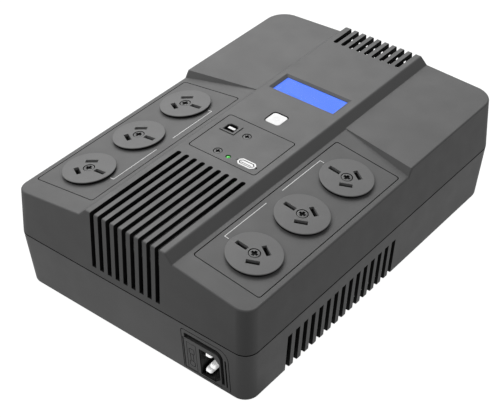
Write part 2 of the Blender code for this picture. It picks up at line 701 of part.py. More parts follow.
def outlet_rows():
    words = ("front", "middle", "rear")
    return {word: OUTLET_MIDDLE_Y + (k - 1) * OUTLET_PITCH for k, word in enumerate(words)}


def pin_slots(side, z_range):
    """The earth slot inboard, and the two slanted line and neutral slots outboard of the centre."""
    slots = []
    places = [(-side * EARTH_OFFSET, 0.0, 0.0)]
    places.append((side * LIVE_OFFSET[0], LIVE_OFFSET[1], -side * PIN_SLOT_TURN))
    places.append((side * LIVE_OFFSET[0], -LIVE_OFFSET[1], side * PIN_SLOT_TURN))
    for x, y, turn in places:
        slot = centred_box("slot", (0.0, 0.0), PIN_SLOT, z_range)
        slots.append(turn_mesh(slot, Matrix.Translation((x, y, 0.0)) @ Matrix.Rotation(turn, 4, "Z")))
    return slots


def make_outlet_bank(side, word):
    bank = empty("outlet_bank_" + word, (side * FOOT_X, 0.0, FOOT_Z), side * DECK_TILT)
    make_outlet_panel(side, word, bank)
    for row, y in outlet_rows().items():
        make_outlet(side, word + "_" + row, (side * OUTLET_OUTBOARD, y, 0.0), bank)
    make_contact_strips(side, word, bank)


def make_outlet_panel(side, word, bank):
    centre = (side * PANEL_CENTRE[0], PANEL_CENTRE[1], 0.0)
    name = "outlet_panel_" + word
    under = -PANEL_THICKNESS - PANEL_BACKING
    plate = rounded_plate(name, (0.0, 0.0), (PANEL_WIDTH, PANEL_LENGTH), PANEL_CORNER, (under, 0.0))
    panel = piece(name, plate, "panel_plastic", centre, bank)
    # The flange's top stays clear of the deck's underside.
    flange = (PANEL_WIDTH + 2 * PANEL_FLANGE, PANEL_LENGTH + 2 * PANEL_FLANGE)
    flange_top = -PANEL_THICKNESS - 0.4 * MM
    join(panel, centred_box("flange", (0.0, 0.0), flange, (flange_top - 2.0 * MM, flange_top)))
    radius = OUTLET_BOSS_RADIUS + 0.4 * MM
    profile = [(radius, 2 * under), (radius, BEYOND)]
    holes = []
    for y in outlet_rows().values():
        place = (side * (OUTLET_OUTBOARD - PANEL_CENTRE[0]), y - PANEL_CENTRE[1])
        holes.append(turned("hole", profile, place, OUTLET_SEGMENTS))
    cut(panel, merge_meshes("holes", holes))


def make_outlet(side, word, place, bank):
    profile = [(OUTLET_BOSS_RADIUS, -OUTLET_BOSS_DEPTH), (OUTLET_BOSS_RADIUS, GAP), (OUTLET_RADIUS, GAP),
               (OUTLET_RADIUS, OUTLET_RISE - 0.5 * MM), (OUTLET_RADIUS - 0.5 * MM, OUTLET_RISE)]
    name = "outlet_face_" + word
    face = piece(name, turned(name, profile, segments=OUTLET_SEGMENTS), "outlet_plastic", place, bank, True)
    through = (-OUTLET_BOSS_DEPTH - BEYOND, OUTLET_RISE + BEYOND)
    tools = pin_slots(side, through)
    sink = screw_sink(through, OUTLET_RISE, OUTLET_SCREW_HEAD)
    tools.append(turned("sink", sink, segments=SCREW_SEGMENTS))
    cut(face, merge_meshes("holes", tools))
    head_z = OUTLET_RISE - 0.2 * MM
    make_panel_screw("outlet_screw_" + word, place, bank, head_z, OUTLET_SCREW_LENGTH, OUTLET_SCREW_HEAD)


def screw_sink(through, surface, head_radius):
    """Profile of a screw's hole with a wide sink for its head below the surface."""
    return [(SCREW_SHANK_RADIUS + GAP, through[0]), (SCREW_SHANK_RADIUS + GAP, surface - SCREW_SINK),
            (head_radius + GAP, surface - SCREW_SINK), (head_radius + GAP, through[1])]


def make_panel_screw(name, place, parent, head_z, length, head_radius):
    """A cross-head screw whose head is just under the surface around it."""
    profile = [(SCREW_SHANK_RADIUS, head_z - length), (SCREW_SHANK_RADIUS, head_z - SCREW_HEAD_HEIGHT),
               (head_radius, head_z - SCREW_HEAD_HEIGHT), (head_radius, head_z - 0.3 * MM),
               (head_radius - 0.4 * MM, head_z)]
    screw = piece(name, turned(name, profile, segments=SCREW_SEGMENTS), "screw_steel", place, parent, True)
    cut(screw, cross_recess((head_z - 1.0 * MM, head_z + BEYOND)))


def make_contact_strips(side, word, bank):
    """Three brass strips run under each bank, with arms that reach the pins."""
    top = -OUTLET_BOSS_DEPTH - GAP
    z_range = (top - STRIP_THICKNESS, top)
    rows = list(outlet_rows().values())
    reach = {
        "earth": (OUTLET_OUTBOARD - EARTH_OFFSET - 6 * MM, OUTLET_OUTBOARD - EARTH_OFFSET + 3 * MM, 0.0),
        "line": (OUTLET_OUTBOARD + 14 * MM, OUTLET_OUTBOARD + LIVE_OFFSET[0] - 3 * MM, LIVE_OFFSET[1]),
        "neutral": (OUTLET_OUTBOARD - 3.5 * MM, OUTLET_OUTBOARD + LIVE_OFFSET[0] + 3 * MM, -LIVE_OFFSET[1]),
    }
    for kind, (rail, tip, offset) in reach.items():
        outline = comb_outline(rail, tip, [y + offset for y in rows])
        outline = [(side * x, y) for x, y in outline]
        name = kind + "_strip_" + word
        piece(name, prism(name, outline, *z_range), "strip_brass", (0.0, 0.0, 0.0), bank)


def comb_outline(rail, tip, arms):
    """A straight rail along Y with an arm at each given Y, reaching from the rail to the tip."""
    way = 1 if tip > rail else -1
    back = rail - way * STRIP_WIDTH / 2
    edge = rail + way * STRIP_WIDTH / 2
    half = STRIP_ARM / 2
    points = [(back, arms[0] - half), (tip, arms[0] - half)]
    for i, y in enumerate(arms):
        points.append((tip, y + half))
        if i + 1 < len(arms):
            points.append((edge, y + half))
            points.append((edge, arms[i + 1] - half))
            points.append((tip, arms[i + 1] - half))
    points.append((back, arms[-1] + half))
    return points


# ---------------------------------------------------------------- spine: ports, display and button
def make_interface_panel():
    name = "interface_panel"
    z_range = (-INTERFACE_THICKNESS, 0.0)
    plate = rounded_plate(name, (0.0, 0.0), INTERFACE_SIZE, INTERFACE_CORNER, z_range)
    panel = piece(name, plate, "panel_plastic", (*INTERFACE_CENTRE, SPINE_TOP_Z))
    flange = (INTERFACE_SIZE[0] + 4 * MM, INTERFACE_SIZE[1] + 4 * MM)
    join(panel, centred_box("flange", (0.0, 0.0), flange, (-INTERFACE_THICKNESS - 0.4 * MM, -WALL - GAP)))

    def local(place):
        return (place[0] - INTERFACE_CENTRE[0], place[1] - INTERFACE_CENTRE[1])

    through = (-INTERFACE_THICKNESS - 2 * BEYOND, BEYOND)
    light = [(STATUS_LIGHT_RADIUS + GAP, through[0]), (STATUS_LIGHT_RADIUS + GAP, through[1])]
    holes = [turned("hole", light, local(STATUS_LIGHT_PLACE), SCREW_SEGMENTS)]
    for place, size in ((USB_DATA_PLACE, USB_DATA_SIZE), (USB_CHARGER_PLACE, USB_CHARGER_SIZE)):
        holes.append(centred_box("hole", local(place), (size[0] + 2 * GAP, size[1] + 2 * GAP), through))
    for place in INTERFACE_SCREWS.values():
        profile = screw_sink(through, 0.0, SCREW_HEAD_RADIUS)
        holes.append(turned("sink", profile, local(place), SCREW_SEGMENTS))
    cut(panel, merge_meshes("holes", holes))
    for word, (x, y) in INTERFACE_SCREWS.items():
        place = (x, y, SPINE_TOP_Z)
        make_panel_screw("interface_screw_" + word, place, None, -0.2 * MM, INTERFACE_SCREW_LENGTH,
                         SCREW_HEAD_RADIUS)


def make_interface_board():
    z_range = (INTERFACE_BOARD_Z, INTERFACE_BOARD_TOP)
    board_mesh = box("interface_board", INTERFACE_BOARD_X, INTERFACE_BOARD_Y, z_range)
    board = piece("interface_board", board_mesh, "board_green")
    hole = [(2.2 * MM, z_range[0] - BEYOND), (2.2 * MM, z_range[1] + BEYOND)]
    holes = [turned("hole", hole, place, 12) for place in INTERFACE_SCREWS.values()]
    cut(board, merge_meshes("holes", holes))


def make_usb_port(name, finish, place, size, opening, rise, tongue, tongue_shift, tongue_sink):
    """An upward-facing socket: a block with a well, and a tongue that stands in the well."""
    high = SPINE_TOP_Z + rise
    block = centred_box(name, (0.0, 0.0), size, (INTERFACE_BOARD_TOP + GAP, high))
    port = piece(name, block, finish, (*place, 0.0))
    cut(port, centred_box("well", (0.0, 0.0), opening, (high - USB_DEPTH, high + BEYOND)))
    tongue_z = (high - USB_DEPTH - 0.5 * MM, high - tongue_sink)
    join(port, centred_box("tongue", (0.0, tongue_shift), tongue, tongue_z))


def make_usb_ports():
    make_usb_port("usb_data_port", "port_black", USB_DATA_PLACE, USB_DATA_SIZE, USB_DATA_OPENING,
                  0.6 * MM, (5.6 * MM, 3.2 * MM), 0.0, 0.8 * MM)
    make_usb_port("usb_charger_port", "port_white", USB_CHARGER_PLACE, USB_CHARGER_SIZE, USB_CHARGER_OPENING,
                  0.4 * MM, (10.8 * MM, 1.8 * MM), 0.9 * MM, 0.6 * MM)


def make_status_light():
    """A small light with a domed end, just under the panel's surface."""
    dome = 1.2 * MM
    high = SPINE_TOP_Z - 0.2 * MM
    profile = [(STATUS_LIGHT_RADIUS, INTERFACE_BOARD_TOP + GAP), (STATUS_LIGHT_RADIUS, high - dome)]
    for k in range(1, 4):
        angle = math.radians(25 * k)
        profile.append((STATUS_LIGHT_RADIUS * math.cos(angle), high - dome + dome * math.sin(angle)))
    light = turned("status_light", profile, segments=SCREW_SEGMENTS)
    piece("status_light", light, "light_green", (*STATUS_LIGHT_PLACE, 0.0), smooth=True)


def make_display():
    module_top = SPINE_TOP_Z - WALL - 2 * GAP
    centre = (*DISPLAY_CENTRE, 0.0)
    module_size = (DISPLAY_SIZE[0] - 1 * MM, DISPLAY_SIZE[1] + 1 * MM)
    module = centred_box("display_module", (0.0, 0.0), module_size, (INTERFACE_BOARD_TOP + GAP, module_top))
    piece("display_module", module, "display_blue", centre)
    window_size = (DISPLAY_SIZE[0] - 2 * GAP, DISPLAY_SIZE[1] - 2 * GAP)
    window_z = (module_top + GAP, SPINE_TOP_Z - DISPLAY_SINK)
    window = centred_box("display_window", (0.0, 0.0), window_size, window_z)
    piece("display_window", window, "window_clear", centre)


def make_power_button():
    top = SPINE_TOP_Z - GAP
    origin = (*BUTTON_CENTRE, 0.0)
    size = (BUTTON_SIZE, BUTTON_SIZE)
    cap = rounded_plate("power_button", (0.0, 0.0), size, BUTTON_CORNER, (top - BUTTON_DEPTH, top))
    button = piece("power_button", cap, "button_white", origin)
    stem = [(2.0 * MM, SWITCH_TOP + PLUNGER_RISE + GAP), (2.0 * MM, top - BUTTON_DEPTH + 0.4 * MM)]
    join(button, turned("stem", stem, segments=SCREW_SEGMENTS))
    flange = (BUTTON_SIZE + 4 * MM, BUTTON_SIZE + 1 * MM)
    join(button, centred_box("flange", (0.0, 0.0), flange, (top - 4.0 * MM, SPINE_TOP_Z - WALL - GAP)))


def make_power_switch():
    """The push switch under the button, with its plunger."""
    origin = (*BUTTON_CENTRE, 0.0)
    shaft = [(1.7 * MM, SWITCH_TOP - PLUNGER_RISE), (1.7 * MM, SWITCH_TOP + PLUNGER_RISE)]
    plunger = turned("switch_plunger", shaft, segments=SCREW_SEGMENTS)
    piece("switch_plunger", plunger, "port_black", origin, smooth=True)
    base_z = (INTERFACE_BOARD_TOP + GAP, SWITCH_TOP)
    base = centred_box("power_switch", (0.0, 0.0), (6.0 * MM, 6.0 * MM), base_z)
    switch = piece("power_switch", base, "inlet_black", origin)
    bore = [(2.0 * MM, SWITCH_TOP - 3.6 * MM), (2.0 * MM, SWITCH_TOP + BEYOND)]
    cut(switch, turned("bore", bore, segments=SCREW_SEGMENTS))


# ---------------------------------------------------------------- mains inlet
def make_mains_inlet():
    face = INLET_FACE_Y
    body = inlet_solid("mains_inlet", INLET_X, INLET_Z, (face, face + INLET_DEPTH), INLET_CORNER)
    inlet = piece("mains_inlet", body, "inlet_black")
    cut(inlet, socket_solid("socket", (face - BEYOND, face + SOCKET_DEPTH)))
    bay_x = (DRAWER_X[0] - GAP, DRAWER_X[1] + GAP)
    bay_z = (DRAWER_Z[0] - GAP, DRAWER_Z[1] + GAP)
    cut(inlet, box("bay", bay_x, (face - BEYOND, face + DRAWER_DEPTH + 1 * MM), bay_z))
    slots = []
    for name, (x, z) in inlet_pins().items():
        x_range, z_range = spans((x, z), INLET_PIN_SIZE)
        blade = box(name, x_range, (face + INLET_PIN_SINK, face + INLET_DEPTH + 5 * MM), z_range)
        piece(name, blade, "pin_nickel")
        hole_x = (x_range[0] - GAP, x_range[1] + GAP)
        hole_z = (z_range[0] - GAP, z_range[1] + GAP)
        slots.append(box("slot", hole_x, (face + SOCKET_DEPTH - BEYOND, face + INLET_DEPTH + BEYOND), hole_z))
    cut(inlet, merge_meshes("slots", slots))


def inlet_pins():
    """Middle of each blade, in X and Z: line over neutral, with earth between and to the right."""
    x = SOCKET_X[0] + INLET_PIN_INSET
    z = (SOCKET_Z[0] + SOCKET_Z[1]) / 2
    half = INLET_PIN_SPACING / 2
    return {"line_pin": (x, z + half), "neutral_pin": (x, z - half), "earth_pin": (x + INLET_EARTH_SHIFT, z)}


def socket_solid(name, y_range):
    """The inlet's cavity: a rectangle with its two right-hand corners cut off."""
    x0, x1 = SOCKET_X
    z0, z1 = SOCKET_Z
    c = SOCKET_CHAMFER
    outline = [(x0, z0), (x1 - c, z0), (x1, z0 + c), (x1, z1 - c), (x1 - c, z1), (x0, z1)]
    return loft(name, [[(x, y, z) for x, z in outline] for y in y_range])


def make_fuse_drawer():
    x0, x1 = DRAWER_X
    z0, z1 = DRAWER_Z
    centre = ((x0 + x1) / 2, INLET_FACE_Y, (z0 + z1) / 2)
    half_x = (x1 - x0) / 2
    half_z = (z1 - z0) / 2
    body = box("fuse_drawer", (-half_x, half_x), (0.0, DRAWER_DEPTH), (-half_z, half_z))
    drawer = piece("fuse_drawer", body, "inlet_black", centre)
    trough_x = (-half_x + DRAWER_WALL, half_x + BEYOND)
    trough_y = (DRAWER_WALL + BEYOND, DRAWER_DEPTH - DRAWER_WALL)
    cut(drawer, box("trough", trough_x, trough_y, (-half_z + DRAWER_WALL, half_z - DRAWER_WALL)))
    notch_x = (-half_x + 2 * MM, half_x - 2 * MM)
    cut(drawer, box("notch", notch_x, (-BEYOND, 0.8 * MM), (half_z - 2.4 * MM, half_z - 1.0 * MM)))
    half_length = 10.0 * MM
    half_glass = 5.5 * MM
    cap = 2.5 * MM
    glass = 2.2 * MM
    profile = [(cap, -half_length), (cap, -half_glass), (glass, -half_glass), (glass, half_glass),
               (cap, half_glass), (cap, half_length)]
    place = (centre[0] + DRAWER_WALL / 3, INLET_FACE_Y + DRAWER_DEPTH / 2 - 0.5 * MM, centre[2])
    piece("fuse", turned("fuse", profile, segments=SCREW_SEGMENTS), "fuse_glass", place, smooth=True)


# ---------------------------------------------------------------- power electronics
def board_standoffs():
    inset_x = (MAIN_BOARD_X[0] + STANDOFF_EDGE, MAIN_BOARD_X[1] - STANDOFF_EDGE)
    inset_y = (MAIN_BOARD_Y[0] + STANDOFF_EDGE, MAIN_BOARD_Y[1] - STANDOFF_EDGE)
    return [(x, y) for x in inset_x for y in inset_y]


def make_main_board():
    board = box("main_board", MAIN_BOARD_X, MAIN_BOARD_Y, (MAIN_BOARD_Z, MAIN_BOARD_TOP))
    piece("main_board", board, "board_green")
    low = MAIN_BOARD_TOP + GAP
    outline = heatsink_outline((-70 * MM, -44 * MM), 6, 3.0 * MM, 22 * MM)
    rings = [[(x, y, low + z) for x, z in outline] for y in (34 * MM, 92 * MM)]
    piece("heatsink", loft("heatsink", rings), "fin_aluminium")
    relay = centred_box("relay", (0.0, 0.0), (16 * MM, 22 * MM), (0.0, 16 * MM))
    piece("relay", relay, "relay_blue", (-8 * MM, 92 * MM, low))
    can = [(8.6 * MM, 0.0), (9.0 * MM, 0.6 * MM), (9.0 * MM, 33 * MM), (8.4 * MM, 34 * MM)]
    piece("capacitor", turned("capacitor", can), "capacitor_sleeve", (-18 * MM, 58 * MM, low), smooth=True)


def heatsink_outline(x_range, fins, base, height):
    """A base plate with upright fins, in X and Z."""
    x0, x1 = x_range
    thickness = 1.6 * MM
    pitch = (x1 - x0 - thickness) / (fins - 1)
    points = [(x1, 0.0)]
    for k in range(fins - 1, -1, -1):
        left = x0 + k * pitch
        points.append((left + thickness, height))
        points.append((left, height))
        if k:
            points.append((left, base))
            points.append((left - pitch + thickness, base))
    points.append((x0, 0.0))
    return points


def make_transformer():
    """A laminated core with two windows, and a copper coil round its middle leg."""
    low = FLOOR_Z + GAP
    high = low + TRANSFORMER_HEIGHT
    block = box("transformer_core", TRANSFORMER_X, TRANSFORMER_Y, (low, high))
    core = piece("transformer_core", block, "core_steel")
    middle_x = sum(TRANSFORMER_X) / 2
    middle_y = sum(TRANSFORMER_Y) / 2
    depth = TRANSFORMER_Y[1] - TRANSFORMER_Y[0]
    through = (TRANSFORMER_Y[0] - BEYOND, TRANSFORMER_Y[1] + BEYOND)
    windows = []
    for side in (-1, 1):
        span = sorted((middle_x + side * TRANSFORMER_LEG, middle_x + side * 2 * TRANSFORMER_LEG))
        windows.append(box("window", span, through, (low + TRANSFORMER_YOKE, high - TRANSFORMER_YOKE)))
    cut(core, merge_meshes("windows", windows))
    coil_z = (low + TRANSFORMER_YOKE + 0.4 * MM, high - TRANSFORMER_YOKE - 0.4 * MM)
    coil_size = (4 * TRANSFORMER_LEG - 0.8 * MM, depth + 2 * TRANSFORMER_LEG)
    coil_mesh = rounded_plate("transformer_coil", (0.0, 0.0), coil_size, 8 * MM, coil_z)
    coil = piece("transformer_coil", coil_mesh, "coil_copper", (middle_x, middle_y, 0.0))
    bore = (2 * TRANSFORMER_LEG + 2 * GAP, depth + 2 * GAP)
    cut(coil, centred_box("bore", (0.0, 0.0), bore, (coil_z[0] - BEYOND, coil_z[1] + BEYOND)))


def make_battery():
    top = BATTERY_FLOOR + BATTERY_SIZE[2]
    case = centred_box("battery", (0.0, 0.0), BATTERY_SIZE[:2], (BATTERY_FLOOR, top))
    piece("battery", case, "battery_case", (*BATTERY_CENTRE, 0.0))
    rear = BATTERY_CENTRE[1] + BATTERY_SIZE[1] / 2
    terminals = {"positive": top - 10 * MM, "negative": BATTERY_FLOOR + 12 * MM}
    for word, z in terminals.items():
        name = "battery_terminal_" + word
        tab = box(name, TERMINAL_X, (rear + GAP, rear + TERMINAL_LENGTH), (z - 0.4 * MM, z + 0.4 * MM))
        piece(name, tab, "terminal_brass")
    start = rear + TERMINAL_LENGTH + GAP
    high = terminals["positive"]
    red = [(33 * MM, start, high), (33 * MM, start + 9 * MM, high - 2 * MM),
           (26 * MM, start + 13 * MM, 48 * MM), (10 * MM, start + 15 * MM, 34 * MM),
           (2 * MM, start + 17 * MM, 24 * MM), (1 * MM, start + 18 * MM, 16 * MM)]
    low = terminals["negative"]
    black = [(33 * MM, start, low), (32 * MM, start + 5 * MM, low + 1 * MM),
             (24 * MM, start + 8 * MM, 20 * MM), (8 * MM, start + 9 * MM, 22 * MM),
             (-8 * MM, start + 12 * MM, 20 * MM), (-10 * MM, start + 14 * MM, 15 * MM)]
    for word, path in {"red": red, "black": black}.items():
        name = "battery_lead_" + word
        piece(name, tube(name, path, LEAD_RADIUS), "lead_" + word, smooth=True)


# ---------------------------------------------------------------- build
clear_scene()
make_upper_shell()
make_lower_shell()
make_battery_door()
make_feet()
make_case_screws()
make_outlet_bank(-1, "left")
make_outlet_bank(1, "right")
make_interface_panel()
make_interface_board()
make_usb_ports()
make_status_light()
make_display()
make_power_button()
make_power_switch()
make_mains_inlet()
make_fuse_drawer()
make_main_board()
make_transformer()
make_battery()
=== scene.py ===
import math

import bmesh
import bpy
from mathutils import Matrix, Vector


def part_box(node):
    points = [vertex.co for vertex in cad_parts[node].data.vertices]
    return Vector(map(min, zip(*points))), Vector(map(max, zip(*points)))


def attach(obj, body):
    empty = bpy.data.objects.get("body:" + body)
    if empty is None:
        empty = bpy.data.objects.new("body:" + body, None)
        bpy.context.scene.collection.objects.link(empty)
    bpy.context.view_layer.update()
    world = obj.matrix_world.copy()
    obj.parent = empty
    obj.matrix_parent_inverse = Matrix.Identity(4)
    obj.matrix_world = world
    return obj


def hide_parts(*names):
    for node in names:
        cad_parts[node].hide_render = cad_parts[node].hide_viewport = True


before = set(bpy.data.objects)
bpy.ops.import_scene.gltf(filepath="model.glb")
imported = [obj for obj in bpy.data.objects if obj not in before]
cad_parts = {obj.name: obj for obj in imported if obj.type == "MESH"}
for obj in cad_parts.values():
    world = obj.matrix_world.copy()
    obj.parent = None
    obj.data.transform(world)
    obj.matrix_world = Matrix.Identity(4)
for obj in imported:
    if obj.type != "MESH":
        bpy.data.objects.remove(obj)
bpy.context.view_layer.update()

MM = 0.001
GAP = 0.3 * MM
BEYOND = 1.0 * MM                   # how far a cutter runs past the face that it opens
FAR = 6.0 * MM                      # how far a cutter starts outside the case

# ---------------------------------------------------------------- measures from the frame
upper_low, upper_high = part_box("upper_shell")
lower_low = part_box("lower_shell")[0]
inlet_low, inlet_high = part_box("mains_inlet")
SEAM_Z = upper_low.z - GAP / 2
SPINE_Z = upper_high.z
HALF_WIDTH = upper_high.x
HALF_LENGTH = upper_high.y
BASE_Z = lower_low.z
INLET_FACE = inlet_low.y
CORNERS = ("front_left", "front_right", "rear_left", "rear_right")

# ---------------------------------------------------------------- shape of the case
WALL = 2.5 * MM
FRONT_DRAFT = math.radians(3.0)
SIDE_DRAFT = math.radians(2.2)
BASE_DRAFT = math.radians(3.8)
FRONT_RADIUS = 10.5 * MM
REAR_RADIUS = 16.0 * MM
CORNER_STEPS = 14
SPINE_HALF = 34.6 * MM              # half width of the raised spine's flat top
FOOT_X = 40.6 * MM                  # where the spine's sloping sides meet the decks
FOOT_Z = SPINE_Z - 6.3 * MM
WING_RISE = 0.5 * MM                # from the decks that hold the outlets up to the rear wings
DECK_TILT = math.radians(7.5)
WING_TILT = math.radians(2.8)
STEP_Y = 39.8 * MM                  # the step between deck and wing, at the spine
STEP_LOW_RUN = 11.0 * MM            # how far the step's lower and upper edges run forward, out to the side
STEP_HIGH_RUN = 7.2 * MM
RIM_FILLET = 1.2 * MM               # largest edge rounding; the others are shares of it
SPINE_SHARE = 0.75
FOOT_SHARE = 0.25
STEP_SHARE = 0.35
SEAM_SHARE = 0.15
BASE_FILLET = 1.0 * MM
POST_RADIUS = 4.6 * MM              # posts in the base round the case screws
POST_BORE = 3.6 * MM
SHANK_HOLE = 1.8 * MM
SEAM_GROOVE = 0.35 * MM             # height of the shadow line cut into both shells along the seam
LINE_DEPTH = {"top": 0.6 * MM, "base": 1.2 * MM}
EDGE_BREAK = 0.12 * MM              # chamfer along the line's lower edge
LIP_RISE = 2.1 * MM                 # the base's lip inside the upper shell
LIP_WALL = 1.2 * MM
SHELL_ROUNDING = 0.22 * MM

SLOT_COUNT = 9
SLOT_PITCH = 7.04 * MM
SLOT_WIDTH = 3.5 * MM
FRONT_SLOT_END = -58.9 * MM
FRONT_SLOT_LOW = SEAM_Z + 5.8 * MM
REAR_SLOT_END = 121.4 * MM
REAR_SLOT_LOW = SEAM_Z + 14.7 * MM
VENT_COUNT = 15
VENT_PITCH = 8.53 * MM
VENT_WIDTH = 4.5 * MM
VENT_FIRST = -104.2 * MM
VENT_TOP = BASE_Z + 32.1 * MM
VENT_REACH = 6.0 * MM               # how far in from the side the vents cut, through the floor as well
SLOT_DEPTH = 3.2 * MM               # the ribs between the slots are deeper than the wall

# ---------------------------------------------------------------- outlet banks
PANEL_SIZE = (53.2 * MM, 153.8 * MM)
PANEL_OUTBOARD = 30.0 * MM
PANEL_CORNER = 1.8 * MM
PANEL_DEPTH = 4.0 * MM
OUTLET_OUTBOARD = 31.6 * MM
OUTLET_RADIUS = 19.0 * MM
OUTLET_RISE = 2.4 * MM
FACE_THICKNESS = 2.2 * MM
FACE_DEPTH = 9 * MM                 # how far an outlet's boss reaches below the panel's surface
FACE_EDGE = 0.6 * MM                # height of the rim's edge in the outlet's own grey; below it the rim is painted dark as shade
BOSS_RADIUS = 16.0 * MM
EARTH_OFFSET = 10.3 * MM            # from an outlet's centre to its earth slot, towards the spine
LIVE_OFFSET = (4.2 * MM, 7.0 * MM)  # and to its two slanted slots
PIN_MOUTH = (9.0 * MM, 3.4 * MM)
PIN_SLIT = (7.0 * MM, 1.9 * MM)
PIN_TURN = math.radians(30.0)
SCREW_GAP = 0.5 * MM                # gap round each screw head, its sides painted dark as shade
PLATE_GAP = 0.55 * MM               # gap round the inset panels
BRACKET_INSET = {"left": 8.7 * MM, "right": 6.9 * MM}      # bracket line from the deck's foot
BRACKET_WIDTH = 0.40 * MM
BRACKET_TICK = 3.6 * MM
BRACKET_SPANS = ((-0.4 * MM, -43.2 * MM), (-60.2 * MM, -103.6 * MM))

# ---------------------------------------------------------------- spine fittings
INTERFACE_SIZE = (58.2 * MM, 46.0 * MM)
INTERFACE_CORNER = 2.0 * MM
BEZEL_INSET = 2.1 * MM              # from the display window's sides in to the screen
BEZEL_RUN = (2.3 * MM, 1.9 * MM)    # width of the display's sloping bezel, at its ends and along its sides
BEZEL_DROP = 1.35 * MM
BUTTON_CORNER = 2.4 * MM


# ================================================================ mesh helpers
def mesh_from(name, vertices, faces):
    mesh = bpy.data.meshes.new(name)
    mesh.from_pydata([tuple(v) for v in vertices], [], faces)
    shape = bmesh.new()
    shape.from_mesh(mesh)
    bmesh.ops.recalc_face_normals(shape, faces=shape.faces)
    shape.to_mesh(mesh)
    shape.free()
    return mesh


def loft(name, rings, loop=False):
    """Rings joined one to the next; a loop joins the last back to the first, and others get end faces."""
    count = len(rings[0])
    vertices = [point for ring in rings for point in ring]
    faces = []
    if not loop:
        faces += [tuple(range(count)), tuple(range((len(rings) - 1) * count, len(rings) * count))]
    for level in range(len(rings) if loop else len(rings) - 1):
        low = level * count
        high = (level + 1) % len(rings) * count
        for i in range(count):
            j = (i + 1) % count
            faces.append((low + i, low + j, high + j, high + i))
    return mesh_from(name, vertices, faces)


def merge(name, meshes):
    """Several closed meshes that don't touch, held in one mesh."""
    vertices = []
    faces = []
    for mesh in meshes:
        start = len(vertices)
        vertices += [v.co.copy() for v in mesh.vertices]
        faces += [tuple(start + i for i in polygon.vertices) for polygon in mesh.polygons]
        bpy.data.meshes.remove(mesh)
    return mesh_from(name, vertices, faces)


def ring_at(outline, z):
    return [(x, y, z) for x, y in outline]


def prism(name, outline, heights):
    return loft(name, [ring_at(outline, z) for z in heights])


def spans(centre, size):
    return [(middle - length / 2, middle + length / 2) for middle, length in zip(centre, size)]


def rectangle(x_range, y_range):
    x0, x1 = x_range
    y0, y1 = y_range
    return [(x0, y0), (x1, y0), (x1, y1), (x0, y1)]


def box(name, x_range, y_range, z_range):
    return prism(name, rectangle(x_range, y_range), z_range)


def arc(centre_x, centre_y, radius, start, end, steps=6):
    """Points along a round stretch of an outline; its ends are in degrees."""
    points = []
    for k in range(steps + 1):
        angle = math.radians(start + (end - start) * k / steps)
        points.append((centre_x + radius * math.cos(angle), centre_y + radius * math.sin(angle)))
    return points


def rounded(x_range, y_range, front_radius, rear_radius=None, steps=6):
    """A rectangle with rounded corners, anticlockwise from the front right."""
    rear_radius = front_radius if rear_radius is None else rear_radius
    x0, x1 = x_range
    y0, y1 = y_range
    corners = [
        (x1 - front_radius, y0 + front_radius, front_radius, -90),
        (x1 - rear_radius, y1 - rear_radius, rear_radius, 0),
        (x0 + rear_radius, y1 - rear_radius, rear_radius, 90),
        (x0 + front_radius, y0 + front_radius, front_radius, 180),
    ]
    points = []
    for centre_x, centre_y, radius, start in corners:
        points += arc(centre_x, centre_y, radius, start, start + 90, steps)
    return points


def plate(name, centre, size, corner, heights):
    return prism(name, rounded(*spans(centre, size), corner), heights)


def circle(radius, z, centre=(0.0, 0.0), segments=48):
    ring = []
    for k in range(segments):
        angle = 2 * math.pi * k / segments
        ring.append((centre[0] + radius * math.cos(angle), centre[1] + radius * math.sin(angle), z))
    return ring


def turned(name, profile, centre=(0.0, 0.0), segments=48):
    """A round piece from (radius, height) points, listed from its lowest to its highest."""
    return loft(name, [circle(radius, z, centre, segments) for radius, z in profile])


def rod(name, radius, z_range, centre=(0.0, 0.0), segments=48):
    return turned(name, [(radius, z) for z in z_range], centre, segments)


def round_over(radius, height, fillet, steps=4):
    """Profile points that round a top edge of a turned piece."""
    return arc(radius - fillet, height - fillet, fillet, 0, 90, steps)


def moved(mesh, matrix):
    mesh.transform(matrix)
    return mesh


# ================================================================ object helpers
def place(name, mesh, matrix=None):
    item = bpy.data.objects.new(name, mesh)
    bpy.context.scene.collection.objects.link(item)
    if matrix is not None:
        item.matrix_world = matrix
    return item


def bake(item):
    """Replace the object's mesh with the one its modifiers make."""
    bpy.context.view_layer.update()
    result = bpy.data.meshes.new_from_object(item.evaluated_get(bpy.context.evaluated_depsgraph_get()))
    item.modifiers.clear()
    old = item.data
    item.data = result
    bpy.data.meshes.remove(old)


def add_looks(item, *materials):
    for material in materials:
        item.data.materials.append(material)


# Faces lower than the height take the near-black painted shade.
def paint_shade_below(item, height):
    for polygon in item.data.polygons:
        if polygon.center.z < height:
            polygon.material_index = PAINTED_SHADE


def combine(item, tool_mesh, operation="DIFFERENCE", look=0):
    """Cut or join a shape; the new faces take the piece's look with that number."""
    tool = place("tool", tool_mesh, item.matrix_world)
    for material in item.data.materials:
        tool_mesh.materials.append(material)
    for polygon in tool_mesh.polygons:
        polygon.material_index = look
    step = item.modifiers.new("cut", "BOOLEAN")
    step.operation = operation
    step.solver = "EXACT"
    step.object = tool
    bake(item)
    bpy.data.objects.remove(tool, do_unlink=True)
    bpy.data.meshes.remove(tool_mesh)


def soften(item, width, segments=2, angle=35.0):
    """Round every edge sharper than the angle."""
    bevel = item.modifiers.new("soften", "BEVEL")
    bevel.width = width
    bevel.segments = segments
    bevel.limit_method = "ANGLE"
    bevel.angle_limit = math.radians(angle)
    bevel.use_clamp_overlap = False
    bevel.miter_outer = "MITER_ARC"
    bake(item)


